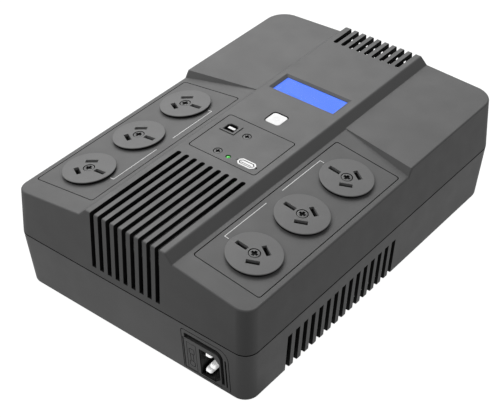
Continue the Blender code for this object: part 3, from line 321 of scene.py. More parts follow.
def soften_openings(item, width):
    """Round only the edges where outer faces meet the faces cut into them."""
    shape = bmesh.new()
    shape.from_mesh(item.data)
    layers = shape.edges.layers.float
    weight = layers.get("bevel_weight_edge") or layers.new("bevel_weight_edge")
    for edge in shape.edges:
        edge[weight] = float(len({face.material_index for face in edge.link_faces}) > 1)
    shape.to_mesh(item.data)
    shape.free()
    round_marked(item, width, 2)


def round_marked(item, width, segments):
    """Round the edges by their own bevel weights."""
    bevel = item.modifiers.new("round", "BEVEL")
    bevel.width = width
    bevel.segments = segments
    bevel.limit_method = "WEIGHT"
    bevel.use_clamp_overlap = False
    bake(item)


def smooth(item, angle):
    """Smooth shading that keeps flat faces flat and hard edges hard."""
    item.data.shade_smooth()
    item.data.set_sharp_from_angle(angle=math.radians(angle))
    weighted = item.modifiers.new("weighted", "WEIGHTED_NORMAL")
    weighted.keep_sharp = True
    weighted.weight = 80
    bake(item)


def finish_piece(item, material, body, nodes=(), angle=32.0):
    """Shade and dress a piece, hang it on the body it rides on, and hide the nodes it replaces.

    Material is None for a piece that already holds its looks, and angle for one that stays flat-shaded.
    """
    if angle is not None:
        smooth(item, angle)
    if material is not None:
        item.data.materials.clear()
        item.data.materials.append(material)
    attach(item, body)
    if nodes:
        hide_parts(*nodes)


# ================================================================ materials
class Look:
    """A Principled material whose inputs are driven by procedural nodes."""

    def __init__(self, name):
        self.material = bpy.data.materials.new(name)
        self.material.use_nodes = True
        self.nodes = self.material.node_tree.nodes
        self.links = self.material.node_tree.links
        self.shader = self.nodes["Principled BSDF"]
        self.place = self.add("ShaderNodeTexCoord").outputs["Object"]

    def add(self, kind, inputs=None, **settings):
        node = self.nodes.new(kind)
        for key, value in settings.items():
            setattr(node, key, value)
        self.feed(node, inputs or {})
        return node

    def feed(self, node, inputs):
        """Each input gets another node's output, a colour or a plain value."""
        for key, value in inputs.items():
            target = node.inputs[key]
            if isinstance(value, bpy.types.NodeSocket):
                self.links.new(value, target)
            elif target.type == "RGBA":
                target.default_value = (*value, 1.0)
            else:
                target.default_value = value

    def shade(self, inputs):
        self.feed(self.shader, inputs)

    def noise(self, scale, detail=2.0, roughness=0.5, place=None):
        inputs = {"Scale": scale, "Detail": detail, "Roughness": roughness, "Vector": place or self.place}
        return self.add("ShaderNodeTexNoise", inputs).outputs["Fac"]

    def stretched(self, scale):
        """Object coordinates scaled by a different amount along each axis."""
        return self.add("ShaderNodeMapping", {"Scale": scale, "Vector": self.place}).outputs["Vector"]

    def spread(self, value, low, high):
        """A 0 to 1 value mapped onto low to high, through its busy middle range."""
        inputs = {"From Min": 0.3, "From Max": 0.7, "To Min": low, "To Max": high, "Value": value}
        return self.add("ShaderNodeMapRange", inputs).outputs["Result"]

    def maths(self, operation, a, b):
        return self.add("ShaderNodeMath", {0: a, 1: b}, operation=operation).outputs[0]

    def blend(self, factor, a, b):
        """Mix two colours."""
        return self.add("ShaderNodeMix", {"Factor": factor, 6: a, 7: b}, data_type="RGBA").outputs[2]

    def tint(self, factor, a, b):
        """Base colour, mixed from two colours."""
        self.shade({"Base Color": self.blend(factor, a, b)})

    def rough(self, low, high, scale, detail=2.0):
        """Roughness that wanders between two values."""
        self.shade({"Roughness": self.spread(self.noise(scale, detail), low, high)})

    def bump(self, height, strength, distance):
        node = self.add("ShaderNodeBump", {"Strength": strength, "Distance": distance, "Height": height})
        self.shade({"Normal": node.outputs["Normal"]})

    def edge_mask(self, radius):
        """Near 1 on tight convex and concave edges, and 0 on open surfaces."""
        bevel = self.add("ShaderNodeBevel", {"Radius": radius}, samples=4)
        geometry = self.add("ShaderNodeNewGeometry")
        normals = {0: bevel.outputs["Normal"], 1: geometry.outputs["Normal"]}
        dot = self.add("ShaderNodeVectorMath", normals, operation="DOT_PRODUCT")
        inputs = {"From Min": 1.0, "From Max": 0.8, "Value": dot.outputs["Value"]}
        return self.add("ShaderNodeMapRange", inputs).outputs["Result"]


def grey(level):
    return (level, level, level)


def moulded_plastic(name, colour, roughness=0.55, grain=0.35, wear=0.18, specular=0.4):
    """Spark-textured moulded plastic: fine grain, faint flow marks and slightly polished edges."""
    look = Look(name)
    lighter = tuple(min(1.0, c * 1.07) for c in colour)
    darker = tuple(c * 0.94 for c in colour)
    worn = tuple(min(1.0, c * 1.25 + 0.01) for c in colour)
    broad = look.spread(look.noise(22.0, 3.0), 0.0, 1.0)
    speck = look.spread(look.noise(1900.0, 1.0), 0.0, 1.0)
    tone = look.maths("ADD", look.maths("MULTIPLY", broad, 0.6), look.maths("MULTIPLY", speck, 0.4))
    edges = look.edge_mask(0.5 * MM)
    patchy = look.maths("MULTIPLY", edges, look.spread(look.noise(90.0, 3.0), 0.3, 1.0))
    look.tint(look.maths("MULTIPLY", patchy, wear), look.blend(tone, darker, lighter), worn)
    rough = look.spread(look.noise(60.0, 4.0), roughness - 0.05, roughness + 0.05)
    polished = look.maths("SUBTRACT", rough, look.maths("MULTIPLY", patchy, 0.10))
    look.shade({"Roughness": polished, "Specular IOR Level": specular})
    look.bump(look.noise(2600.0, 2.0, 0.6), grain, 0.03 * MM)
    return look.material


def gloss_plastic(name, colour, roughness=0.3):
    """Smooth moulded plastic with a faint haze."""
    look = Look(name)
    darker = tuple(c * 0.95 for c in colour)
    look.tint(look.spread(look.noise(120.0), 0.0, 1.0), darker, colour)
    look.rough(roughness - 0.05, roughness + 0.06, 300.0, 3.0)
    look.bump(look.noise(1400.0), 0.08, 0.02 * MM)
    return look.material


def metal(name, colour, roughness=0.3, metallic=1.0, brushed=(400.0, 400.0, 4000.0)):
    """Plated metal with fine drawing marks and slight tarnish."""
    look = Look(name)
    dull = tuple(c * 0.72 for c in colour)
    look.tint(look.spread(look.noise(350.0, 4.0), 0.0, 1.0), dull, colour)
    look.rough(roughness - 0.08, roughness + 0.10, 700.0, 3.0)
    look.shade({"Metallic": metallic})
    look.bump(look.noise(1.0, place=look.stretched(brushed)), 0.15, 0.02 * MM)
    return look.material


def striped(name, colour, other, per_metre, axis, roughness, metallic, depth):
    """Fine parallel ridges, as on windings and stacked laminations."""
    look = Look(name)
    inputs = {"Scale": per_metre, "Distortion": 0.6, "Detail": 1.0, "Vector": look.place}
    wave = look.add("ShaderNodeTexWave", inputs, wave_type="BANDS", bands_direction=axis, wave_profile="SIN")
    look.tint(wave.outputs["Fac"], other, colour)
    look.rough(roughness - 0.05, roughness + 0.08, 500.0)
    look.shade({"Metallic": metallic})
    look.bump(wave.outputs["Fac"], 0.5, depth)
    return look.material


def rubber(name, colour):
    look = Look(name)
    dusty = tuple(c * 1.8 + 0.01 for c in colour)
    look.tint(look.spread(look.noise(260.0, 4.0), 0.0, 0.6), colour, dusty)
    look.rough(0.78, 0.95, 900.0)
    look.bump(look.noise(1800.0, 3.0), 0.5, 0.05 * MM)
    return look.material


def circuit_board(name):
    """Green solder mask over faint copper tracks."""
    look = Look(name)
    cells = look.add("ShaderNodeTexVoronoi", feature="DISTANCE_TO_EDGE")
    look.feed(cells, {"Scale": 170.0, "Vector": look.place})
    limits = {"From Min": 0.04, "From Max": 0.10, "Value": cells.outputs["Distance"]}
    tracks = look.add("ShaderNodeMapRange", limits).outputs["Result"]
    look.tint(tracks, (0.06, 0.24, 0.08), (0.012, 0.10, 0.035))
    look.rough(0.32, 0.48, 400.0)
    look.bump(tracks, 0.3, 0.05 * MM)
    return look.material


def lit_screen(name):
    """Blue backlit liquid crystal with a faint cell grid and softer edges."""
    look = Look(name)
    cells = look.add("ShaderNodeTexBrick", {
        "Color1": (0.010, 0.120, 0.88), "Color2": (0.016, 0.135, 0.90), "Mortar": (0.008, 0.105, 0.82),
        "Scale": 1.0, "Brick Width": 0.55 * MM, "Row Height": 0.6 * MM, "Mortar Size": 0.05 * MM,
        "Vector": look.place}, offset=0.0)
    cloud = look.spread(look.noise(45.0), 0.0, 0.35)
    glow = look.blend(cloud, cells.outputs["Color"], (0.020, 0.150, 0.90))
    look.rough(0.30, 0.42, 800.0)
    look.shade({"Base Color": (0.02, 0.05, 0.16), "Specular IOR Level": 0.3,
                "Emission Color": glow, "Emission Strength": 0.95})
    look.bump(cells.outputs["Fac"], 0.1, 0.02 * MM)
    return look.material


def clear_glass(name):
    """Thin clear cover: mostly see-through, with a soft reflection."""
    look = Look(name)
    look.shade({"Base Color": (1.0, 1.0, 1.0)})
    look.rough(0.05, 0.11, 300.0)
    look.bump(look.noise(40.0), 0.05, 0.02 * MM)
    clear = look.add("ShaderNodeBsdfTransparent")
    facing = look.add("ShaderNodeLayerWeight").outputs["Facing"]
    front = look.maths("SUBTRACT", 1.0, look.add("ShaderNodeNewGeometry").outputs["Backfacing"])
    sheen = look.maths("MULTIPLY", look.maths("POWER", facing, 3.0), 0.10)
    share = look.maths("MULTIPLY", sheen, front)
    mix = look.add("ShaderNodeMixShader", {"Fac": share, 1: clear.outputs[0], 2: look.shader.outputs[0]})
    look.feed(look.nodes["Material Output"], {"Surface": mix.outputs[0]})
    return look.material


def lamp_lens(name, colour, strength):
    look = Look(name)
    deep = tuple(c * 0.5 for c in colour)
    look.tint(look.spread(look.noise(900.0), 0.2, 1.0), deep, colour)
    look.rough(0.12, 0.25, 1500.0)
    look.shade({"Emission Color": colour, "Emission Strength": strength})
    return look.material


CASE_TOP_LOOK = moulded_plastic("case_top_plastic", grey(0.100), 0.50)
BEZEL_LOOK = moulded_plastic("bezel_plastic", grey(0.090), 0.55)
# Painted shade: darker grey for the inlet's moat and the sides of its block, standing in for the shade in the
# moat
MOAT_PAINTED_SHADE_LOOK = moulded_plastic("moat_painted_shade", grey(0.070), 0.6)
CASE_BASE_LOOK = moulded_plastic("case_base_plastic", grey(0.134), 0.50)
PANEL_LOOK = moulded_plastic("panel_plastic", grey(0.100), 0.50)
OUTLET_LOOK = moulded_plastic("outlet_plastic", grey(0.134), 0.46, grain=0.25)
# Painted shade: near-black plastic for faces inside the case, its slots, gaps, recesses and holes, where
# shade falls
PAINTED_SHADE_LOOK = moulded_plastic("painted_shade_plastic", grey(0.016), 0.7, wear=0.0, specular=0.1)
# Painted light: light grey for the outlets' pin slot walls, so they stay lit where they lie in shade
SLOT_PAINTED_LIGHT_LOOK = moulded_plastic("slot_painted_light", grey(0.22), 0.6, wear=0.0, specular=0.2)
PAINTED_SHADE = 1                          # places of these looks on a piece that has several: 1 the near-black painted shade, 2 the bezel, the moat's painted shade or the pin slots' painted light
BEZEL = 2
MOAT_PAINTED_SHADE = 2
SLOT_PAINTED_LIGHT = 2
SCREW_LOOK = metal("screw_steel", grey(0.14), 0.45, 0.3)
PRINT_LOOK = gloss_plastic("white_print", grey(0.90), 0.55)
BUTTON_LOOK = gloss_plastic("button_plastic", grey(0.86), 0.36)
PORT_BLACK_LOOK = gloss_plastic("port_black", grey(0.006), 0.5)
PORT_WHITE_LOOK = gloss_plastic("port_white", grey(0.88), 0.4)
PIN_LOOK = metal("pin_nickel", grey(0.93), 0.35, 0.1)
SCREEN_LOOK = lit_screen("display_screen")
GLASS_LOOK = clear_glass("display_glass")
LAMP_LOOK = lamp_lens("status_lamp", (0.08, 0.60, 0.08), 0.35)
RUBBER_LOOK = rubber("foot_rubber", grey(0.020))


# ================================================================ outer shape of the case
def half_width(z):
    if z >= SEAM_Z:
        return HALF_WIDTH - (z - SEAM_Z) * math.tan(SIDE_DRAFT)
    return HALF_WIDTH - (SEAM_Z - z) * math.tan(BASE_DRAFT)


def front_y(z):
    if z >= SEAM_Z:
        return -HALF_LENGTH + (z - SEAM_Z) * math.tan(FRONT_DRAFT)
    return -HALF_LENGTH + (SEAM_Z - z) * math.tan(BASE_DRAFT)


def rear_y(z):
    if z >= SEAM_Z:
        return HALF_LENGTH - (z - SEAM_Z) * math.tan(SIDE_DRAFT)
    return HALF_LENGTH - (SEAM_Z - z) * math.tan(BASE_DRAFT)


def deck_z(x):
    return FOOT_Z - (abs(x) - FOOT_X) * math.tan(DECK_TILT)


def wing_z(x):
    return FOOT_Z + WING_RISE - (abs(x) - FOOT_X) * math.tan(WING_TILT)


def step_y(x, run):
    return STEP_Y - run * max(abs(x) - FOOT_X, 0.0) / (HALF_WIDTH - FOOT_X)


def spine_wall_x(z):
    """The spine's sloping side wall at a height."""
    return FOOT_X - (z - FOOT_Z) * (FOOT_X - SPINE_HALF) / (SPINE_Z - FOOT_Z)


def wall_point(side, rear, turn, z, inset):
    """A point on the side or end wall; turn goes from 0 on the end wall to 90 degrees on the side wall."""
    radius = (REAR_RADIUS if rear else FRONT_RADIUS) - inset
    along = inset + radius * (1 - math.cos(turn))
    x = half_width(z) - inset - radius * (1 - math.sin(turn))
    y = rear_y(z) - along if rear else front_y(z) + along
    return Vector((side * x, y, z))


def rim_point(side, rear, turn, inset):
    """Where the wall meets the deck or the wing."""
    surface = wing_z if rear else deck_z
    z = FOOT_Z - inset
    for _ in range(8):
        z = surface(wall_point(side, rear, turn, z, inset).x) - inset
    return wall_point(side, rear, turn, z, inset)


def step_point(side, surface, run, inset):
    z = FOOT_Z - inset
    for _ in range(8):
        x = half_width(z) - inset
        z = surface(x) - inset
    return Vector((side * x, step_y(x, run), z))


def case_top_form(name, inset, low, rim_bevel):
    """The upper shell's outer form as flat faces, with its outer edges rounded by rim_bevel."""
    shape = bmesh.new()
    weight = shape.edges.layers.float.new("bevel_weight_edge")
    known = {}

    def vertex(point):
        key = tuple(round(value / (0.001 * MM)) for value in point)
        if key not in known:
            known[key] = shape.verts.new(point)
        return known[key]

    def face(points):
        corners = []
        for point in points:
            corner = vertex(point)
            if corner not in corners:
                corners.append(corner)
        return shape.faces.new(corners)

    def mark(points, share):
        for a, b in zip(points, points[1:]):
            edge = shape.edges.get((vertex(a), vertex(b)))
            if edge is not None:
                edge[weight] = share

    turns = [math.radians(90 * k / CORNER_STEPS) for k in range(CORNER_STEPS + 1)]
    shift = inset * math.tan(math.radians(22.5))
    marks = []                      # runs of points, and the share of the rim's rounding for their edges
    fronts = {}
    rears = {}
    lows = {}
    for side in (-1, 1):
        foot_z = FOOT_Z - inset
        high_z = FOOT_Z + WING_RISE - inset
        top_z = SPINE_Z - inset
        foot_x = side * (FOOT_X - shift)
        high_x = side * (spine_wall_x(high_z + inset) - shift)
        top_x = side * (SPINE_HALF - shift)
        foot_front = Vector((foot_x, front_y(foot_z) + inset, foot_z))
        foot_low = Vector((foot_x, STEP_Y, foot_z))
        foot_high = Vector((high_x, STEP_Y + GAP, high_z))
        foot_rear = Vector((high_x, rear_y(high_z) - inset, high_z))
        top_front = Vector((top_x, front_y(top_z) + inset, top_z))
        top_rear = Vector((top_x, rear_y(top_z) - inset, top_z))
        front_rim = [rim_point(side, False, turn, inset) for turn in turns]
        rear_rim = [rim_point(side, True, turn, inset) for turn in turns]
        front_low = [wall_point(side, False, turn, low, inset) for turn in turns]
        rear_low = [wall_point(side, True, turn, low, inset) for turn in turns]
        step_low = step_point(side, deck_z, STEP_LOW_RUN, inset)
        step_high = step_point(side, wing_z, STEP_HIGH_RUN, inset)
        face([foot_front] + front_rim + [step_low, foot_low])
        face([foot_low, step_low, step_high, foot_high])
        face([foot_high, step_high] + rear_rim[::-1] + [foot_rear])
        face([foot_front, foot_low, foot_high, foot_rear, top_rear, top_front])
        for rim, low_ring in ((front_rim, front_low), (rear_rim, rear_low)):
            for k in range(CORNER_STEPS):
                face([rim[k], rim[k + 1], low_ring[k + 1], low_ring[k]])
        face([front_low[-1], front_rim[-1], step_low, step_high, rear_rim[-1], rear_low[-1]])
        rim = [top_front, foot_front] + front_rim + [step_low, step_high] + rear_rim[::-1]
        marks += [(rim + [foot_rear, top_rear], 1.0), ([top_front, top_rear], SPINE_SHARE),
                  ([foot_front, foot_low], FOOT_SHARE), ([foot_high, foot_rear], FOOT_SHARE),
                  ([foot_low, step_low], FOOT_SHARE), ([foot_high, step_high], STEP_SHARE)]
        fronts[side] = [front_low[0], front_rim[0], foot_front, top_front]
        rears[side] = [rear_low[0], rear_rim[0], foot_rear, top_rear]
        lows[side] = (front_low, rear_low)
    face([fronts[-1][3], fronts[1][3], rears[1][3], rears[-1][3]])
    face(fronts[-1] + fronts[1][::-1])
    face(rears[-1] + rears[1][::-1])
    ring = lows[1][0] + lows[1][1][::-1] + lows[-1][1] + lows[-1][0][::-1]
    face(ring)
    marks += [([fronts[-1][3], fronts[1][3]], 1.0), ([rears[-1][3], rears[1][3]], 1.0),
              (ring + [ring[0]], SEAM_SHARE)]
    for points, share in marks:
        mark(points, share)
    bmesh.ops.recalc_face_normals(shape, faces=shape.faces)
    mesh = bpy.data.meshes.new(name)
    shape.to_mesh(mesh)
    shape.free()
    if rim_bevel:
        item = place(name, mesh)
        round_marked(item, rim_bevel, 6)
        mesh = item.data.copy()
        bpy.data.objects.remove(item, do_unlink=True)
    return mesh


def slot_centres():
    return [(k - (SLOT_COUNT - 1) / 2) * SLOT_PITCH for k in range(SLOT_COUNT)]


def slot_outline(x, y_end, y_open, width, steps=8):
    """A slot's plan: rounded at its closed end, square where it runs out of the case."""
    half = width / 2
    way = 1 if y_end > y_open else -1
    return arc(x, y_end - way * half, half, 0, way * 180, steps) + [(x - half, y_open), (x + half, y_open)]


def deck_matrix(side):
    """From a bank's flat frame, at the spine's foot, to the tilted deck on that side."""
    return Matrix.Translation((side * FOOT_X, 0.0, FOOT_Z)) @ Matrix.Rotation(side * DECK_TILT, 4, "Y")


def node_centre(node):
    low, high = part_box(node)
    return (low + high) / 2


def node_size(node):
    low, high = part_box(node)
    return high - low


def spot_over(centre, z=0.0):
    return Matrix.Translation((centre.x, centre.y, z))


# ================================================================ upper shell
def make_case_top():
    low = SEAM_Z + GAP / 2
    shell = place("case_top", case_top_form("case_top", 0.0, low, RIM_FILLET))
    add_looks(shell, CASE_TOP_LOOK, PAINTED_SHADE_LOOK, BEZEL_LOOK)
    # Everything cut into or added inside the shell below, the cavity, ribs, shadow line, slots and openings,
    # is painted near-black as shade
    combine(shell, case_top_form("cavity", WALL, low - 2 * BEYOND, 0.0), look=PAINTED_SHADE)
    combine(shell, merge("ribs", slot_ribs()), "UNION", look=PAINTED_SHADE)
    depth = LINE_DEPTH["top"]
    high = low + SEAM_GROOVE
    line = [(low - BEYOND, -FAR), (high, -FAR), (high, depth), (low - BEYOND, depth)]
    combine(shell, loft("line", [case_ring(z, inset) for z, inset in line], loop=True), look=PAINTED_SHADE)
    through = (SPINE_Z - SLOT_DEPTH - BEYOND, SPINE_Z + FAR)
    high = SPINE_Z + FAR - BEYOND
    tops = []
    walls = []
    for x in slot_centres():
        tops.append(prism("slot", slot_outline(x, FRONT_SLOT_END, -HALF_LENGTH - FAR, SLOT_WIDTH), through))
        tops.append(prism("slot", slot_outline(x, REAR_SLOT_END, HALF_LENGTH + FAR, SLOT_WIDTH), through))
        span = (x - SLOT_WIDTH / 2, x + SLOT_WIDTH / 2)
        walls.append(box("slot", span, (-HALF_LENGTH - FAR, -HALF_LENGTH + FAR), (FRONT_SLOT_LOW, high)))
        walls.append(box("slot", span, (HALF_LENGTH - FAR, HALF_LENGTH + FAR), (REAR_SLOT_LOW, high)))
    combine(shell, merge("slots", tops), look=PAINTED_SHADE)
    combine(shell, merge("slots", walls), look=PAINTED_SHADE)
    for side, word in ((-1, "left"), (1, "right")):
        centre = (side * PANEL_OUTBOARD, node_centre("outlet_panel_" + word).y)
        size = [length + PLATE_GAP for length in PANEL_SIZE]
        opening = plate("opening", centre, size, PANEL_CORNER + GAP, (-3 * PANEL_DEPTH, FAR))
        combine(shell, moved(opening, deck_matrix(side)), look=PAINTED_SHADE)
    through = (SPINE_Z - WALL - BEYOND, SPINE_Z + BEYOND)
    size = [length + PLATE_GAP for length in INTERFACE_SIZE]
    hole = plate("hole", node_centre("interface_panel"), size, INTERFACE_CORNER + GAP, through)
    size = [button_size() + 4 * GAP] * 2
    other = plate("hole", node_centre("power_button"), size, BUTTON_CORNER + 2 * GAP, through)
    combine(shell, merge("holes", [hole, other]), look=PAINTED_SHADE)
    combine(shell, display_cutter(), look=BEZEL)
    soften_openings(shell, SHELL_ROUNDING)
    hold_to_walls(shell)
    finish_piece(shell, None, "case", ["upper_shell"])


def slot_ribs():
    """Blocks behind the slotted parts of the top and the end walls, for the slots to run through."""
    half = SLOT_PITCH * SLOT_COUNT / 2
    step = 0.2 * MM
    blocks = []
    groups = ((1, front_y, FRONT_SLOT_END, FRONT_SLOT_LOW), (-1, rear_y, REAR_SLOT_END, REAR_SLOT_LOW))
    for way, wall_y, end, low in groups:
        top_span = sorted((wall_y(SPINE_Z) + way * SLOT_DEPTH, end + way * 3 * MM))
        blocks.append(box("rib", (-half, half), top_span, (SPINE_Z - SLOT_DEPTH, SPINE_Z - WALL + step)))
        rings = []
        for z in (low - 3 * MM, SPINE_Z - WALL + step):
            y_range = sorted((wall_y(z) + way * (WALL - step), wall_y(z) + way * SLOT_DEPTH))
            rings.append(ring_at(rectangle((-half, half), y_range), z))
        blocks.append(loft("rib", rings))
    return blocks


def hold_to_walls(shell):
    """Bring back any rounded edge that stands out past the side walls."""
    for vertex in shell.data.vertices:
        limit = half_width(vertex.co.z)
        vertex.co.x = max(-limit, min(limit, vertex.co.x))


def button_size():
    """The square button's side: its cap's depth, without the wider retaining flange."""
    low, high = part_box("power_button")
    return high.y - low.y - 1.0 * MM


def display_spans(extra=0.0):
    centre = node_centre("display_window")
    size = node_size("display_window")
    return spans(centre, (size.x + 2 * extra + 2 * GAP, size.y + 2 * extra + 2 * GAP))


def display_cutter():
    """The display's opening, with a bezel that slopes down to the screen."""
    rings = []
    levels = ((SPINE_Z - WALL - BEYOND, 0.0), (SPINE_Z - BEZEL_DROP, 0.0),
              (SPINE_Z + BEYOND, BEZEL_DROP + BEYOND))
    for z, rise in levels:
        sides = []
        for (start, end), run in zip(display_spans(-BEZEL_INSET), BEZEL_RUN):
            grow = run * rise / BEZEL_DROP
            sides.append((start - grow, end + grow))
        rings.append(ring_at(rounded(*sides, 0.8 * MM, steps=3), z))
    return loft("hole", rings)


# ================================================================ lower shell
def case_ring(z, inset):
    half = half_width(z) - inset
    outline = rounded((-half, half), (front_y(z) + inset, rear_y(z) - inset),
                      FRONT_RADIUS - inset, REAR_RADIUS - inset, CORNER_STEPS)
    return ring_at(outline, z)


def make_case_base():
    top = SEAM_Z - GAP / 2
    levels = []
    for k in range(6):
        angle = math.radians(90 * k / 5)
        levels.append((BASE_Z + BASE_FILLET * (1 - math.cos(angle)), BASE_FILLET * (1 - math.sin(angle))))
    line_low = top - SEAM_GROOVE
    depth = LINE_DEPTH["base"]
    lip_inside = WALL + GAP + LIP_WALL
    levels += [(line_low - EDGE_BREAK, 0.0), (line_low, EDGE_BREAK), (line_low, depth), (top, depth),
               (top, WALL + GAP), (top + LIP_RISE, WALL + GAP), (top + LIP_RISE, lip_inside),
               (top - 3 * MM, lip_inside), (top - 4.5 * MM, WALL), (BASE_Z + WALL, WALL)]
    rings = [case_ring(z, inset) for z, inset in levels]
    shell = place("case_base", loft("case_base", rings))
    add_looks(shell, CASE_BASE_LOOK, PAINTED_SHADE_LOOK, MOAT_PAINTED_SHADE_LOOK)
    # The loft lists its two end faces first, then one band after another from the outside in.
    # These inner bands, from the shadow line's chamfer inwards, and the inner floor are painted near-black as
    # shade.
    outer_bands = levels.index((line_low, EDGE_BREAK))
    inside = list(shell.data.polygons)[2 + outer_bands * len(rings[0]):] + [shell.data.polygons[1]]
    for polygon in inside:
        polygon.material_index = PAINTED_SHADE
    vents = []
    for side in (-1, 1):
        inner = half_width(BASE_Z) - VENT_REACH
        span = sorted((side * inner, side * (HALF_WIDTH + FAR)))
        for k in range(VENT_COUNT):
            y = VENT_FIRST + k * VENT_PITCH
            along = (y - VENT_WIDTH / 2, y + VENT_WIDTH / 2)
            vents.append(box("vent", span, along, (BASE_Z - BEYOND, VENT_TOP)))
    # The vents' cut faces are painted near-black as shade.
    combine(shell, merge("vents", vents), look=PAINTED_SHADE)
    cut_inlet_pocket(shell)
    cut_underside(shell)
    add_battery_cradle(shell)
    soften(shell, SHELL_ROUNDING)
    finish_piece(shell, None, "case", ["lower_shell"])


def face_outline(x_range, z_range, corner, steps=8):
    """An outline in X and Z with a rounded top-right corner."""
    x0, x1 = x_range
    z0, z1 = z_range
    return [(x0, z0), (x1, z0)] + arc(x1 - corner, z1 - corner, corner, 0, 90, steps) + [(x0, z1)]


def face_block(name, outline, y_range):
    return loft(name, [[(x, y, z) for x, z in outline] for y in y_range])


FRAME_LEFT = 1.3 * MM               # the frame line round the inlet, measured outwards from the inlet's box
FRAME_RIGHT = 4.4 * MM
FRAME_TOP = 6.6 * MM
FRAME_LINE = (0.4 * MM, 0.7 * MM)   # width and depth
FRAME_CORNERS = (2.5 * MM, 8.0 * MM)            # radius of its left and right corners
FACE_SINK = 0.4 * MM                # how far the inlet's face lies behind the front wall's surface
BLOCK_RIGHT = inlet_high.x - 3.2 * MM
BLOCK_TOP = inlet_high.z - 1.5 * MM
BLOCK_CORNER = 4.0 * MM
MOAT_RIGHT = inlet_high.x - 0.3 * MM            # outer side of the deep moat round the block
MOAT_TOP = inlet_high.z + 3.4 * MM
MOAT_START = inlet_low.x + 1.3 * MM             # its upper left end
MOAT_FOOT = inlet_low.z + 2.6 * MM              # its lower right end
MOAT_CORNER = 5.5 * MM
MOAT_END = 1.4 * MM                             # radius of its rounded ends
GROOVE_X = (inlet_high.x + 1.1 * MM, inlet_high.x + 2.1 * MM)
GROOVE_TOP = BLOCK_TOP - 1.0 * MM
GROOVE_DEPTH = 1.8 * MM
MOUTH_X = (13.0 * MM, 29.6 * MM)                # the inlet's mouth, from the lower left of the inlet's box
MOUTH_Z = (1.2 * MM, 24.8 * MM)
MOUTH_CUT = 4.6 * MM
MOUTH_DEPTH = 16 * MM


def wall_cutter(name, outline, depth):
    """Cuts an outline in X and Z into the front wall, to one depth all over the tapered wall."""
    start = -HALF_LENGTH - FAR
    return loft(name, [[(x, start, z) for x, z in outline], [(x, front_y(z) + depth, z) for x, z in outline]])


def frame_path(inset):
    """An arch: up the left side, over the top and down the right side."""
    x0 = inlet_low.x - FRAME_LEFT + inset
    x1 = inlet_high.x + FRAME_RIGHT - inset
    z0 = inlet_low.z
    z1 = inlet_high.z + FRAME_TOP - inset
    left = FRAME_CORNERS[0] - inset
    right = FRAME_CORNERS[1] - inset
    top = arc(x0 + left, z1 - left, left, 180, 90) + arc(x1 - right, z1 - right, right, 90, 0, 10)
    return [(x0, z0)] + top + [(x1, z0)]


def cut_inlet_pocket(shell):
    width, depth = FRAME_LINE
    # The frame line and the groove are painted near-black as shade; the moat takes its own darker painted
    # shade.
    combine(shell, wall_cutter("line", frame_path(0.0) + frame_path(width)[::-1], depth), look=PAINTED_SHADE)
    half = (GROOVE_X[1] - GROOVE_X[0]) / 2
    middle = (GROOVE_X[0] + GROOVE_X[1]) / 2
    groove = arc(middle, GROOVE_TOP, half, 0, 180, 4)
    groove += arc(middle, MOAT_FOOT + half, half, 180, 360, 4)
    combine(shell, wall_cutter("groove", groove, GROOVE_DEPTH), look=PAINTED_SHADE)
    end = MOAT_END
    moat = [(inlet_low.x - GAP, inlet_low.z - GAP), (BLOCK_RIGHT + GAP, inlet_low.z - GAP),
            (BLOCK_RIGHT + GAP, MOAT_FOOT)]
    moat += arc(MOAT_RIGHT - end, MOAT_FOOT + end, end, -90, 0, 4)
    moat += arc(MOAT_RIGHT - MOAT_CORNER, MOAT_TOP - MOAT_CORNER, MOAT_CORNER, 0, 90, 10)
    moat += arc(MOAT_START + end, MOAT_TOP - end, end, 90, 180, 4)
    moat += [(MOAT_START, BLOCK_TOP + GAP), (inlet_low.x - GAP, BLOCK_TOP + GAP)]
    combine(shell, face_block("moat", moat, (-HALF_LENGTH - FAR, -HALF_LENGTH + 2 * FAR)), look=MOAT_PAINTED_SHADE)


def add_battery_cradle(shell):
    """Two moulded walls stand beside the battery."""
    battery_low, battery_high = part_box("battery")
    walls = []
    for side in (-1, 1):
        span = sorted(side * (battery_high.x + gap) for gap in (5.5 * MM, 7.5 * MM))
        height = (BASE_Z + WALL - 0.2 * MM, battery_high.z)
        walls.append(box("wall", span, (battery_low.y + 6 * MM, battery_high.y), height))
    # The cradle's walls are painted near-black as shade inside the case.
    combine(shell, merge("cradle", walls), "UNION", look=PAINTED_SHADE)


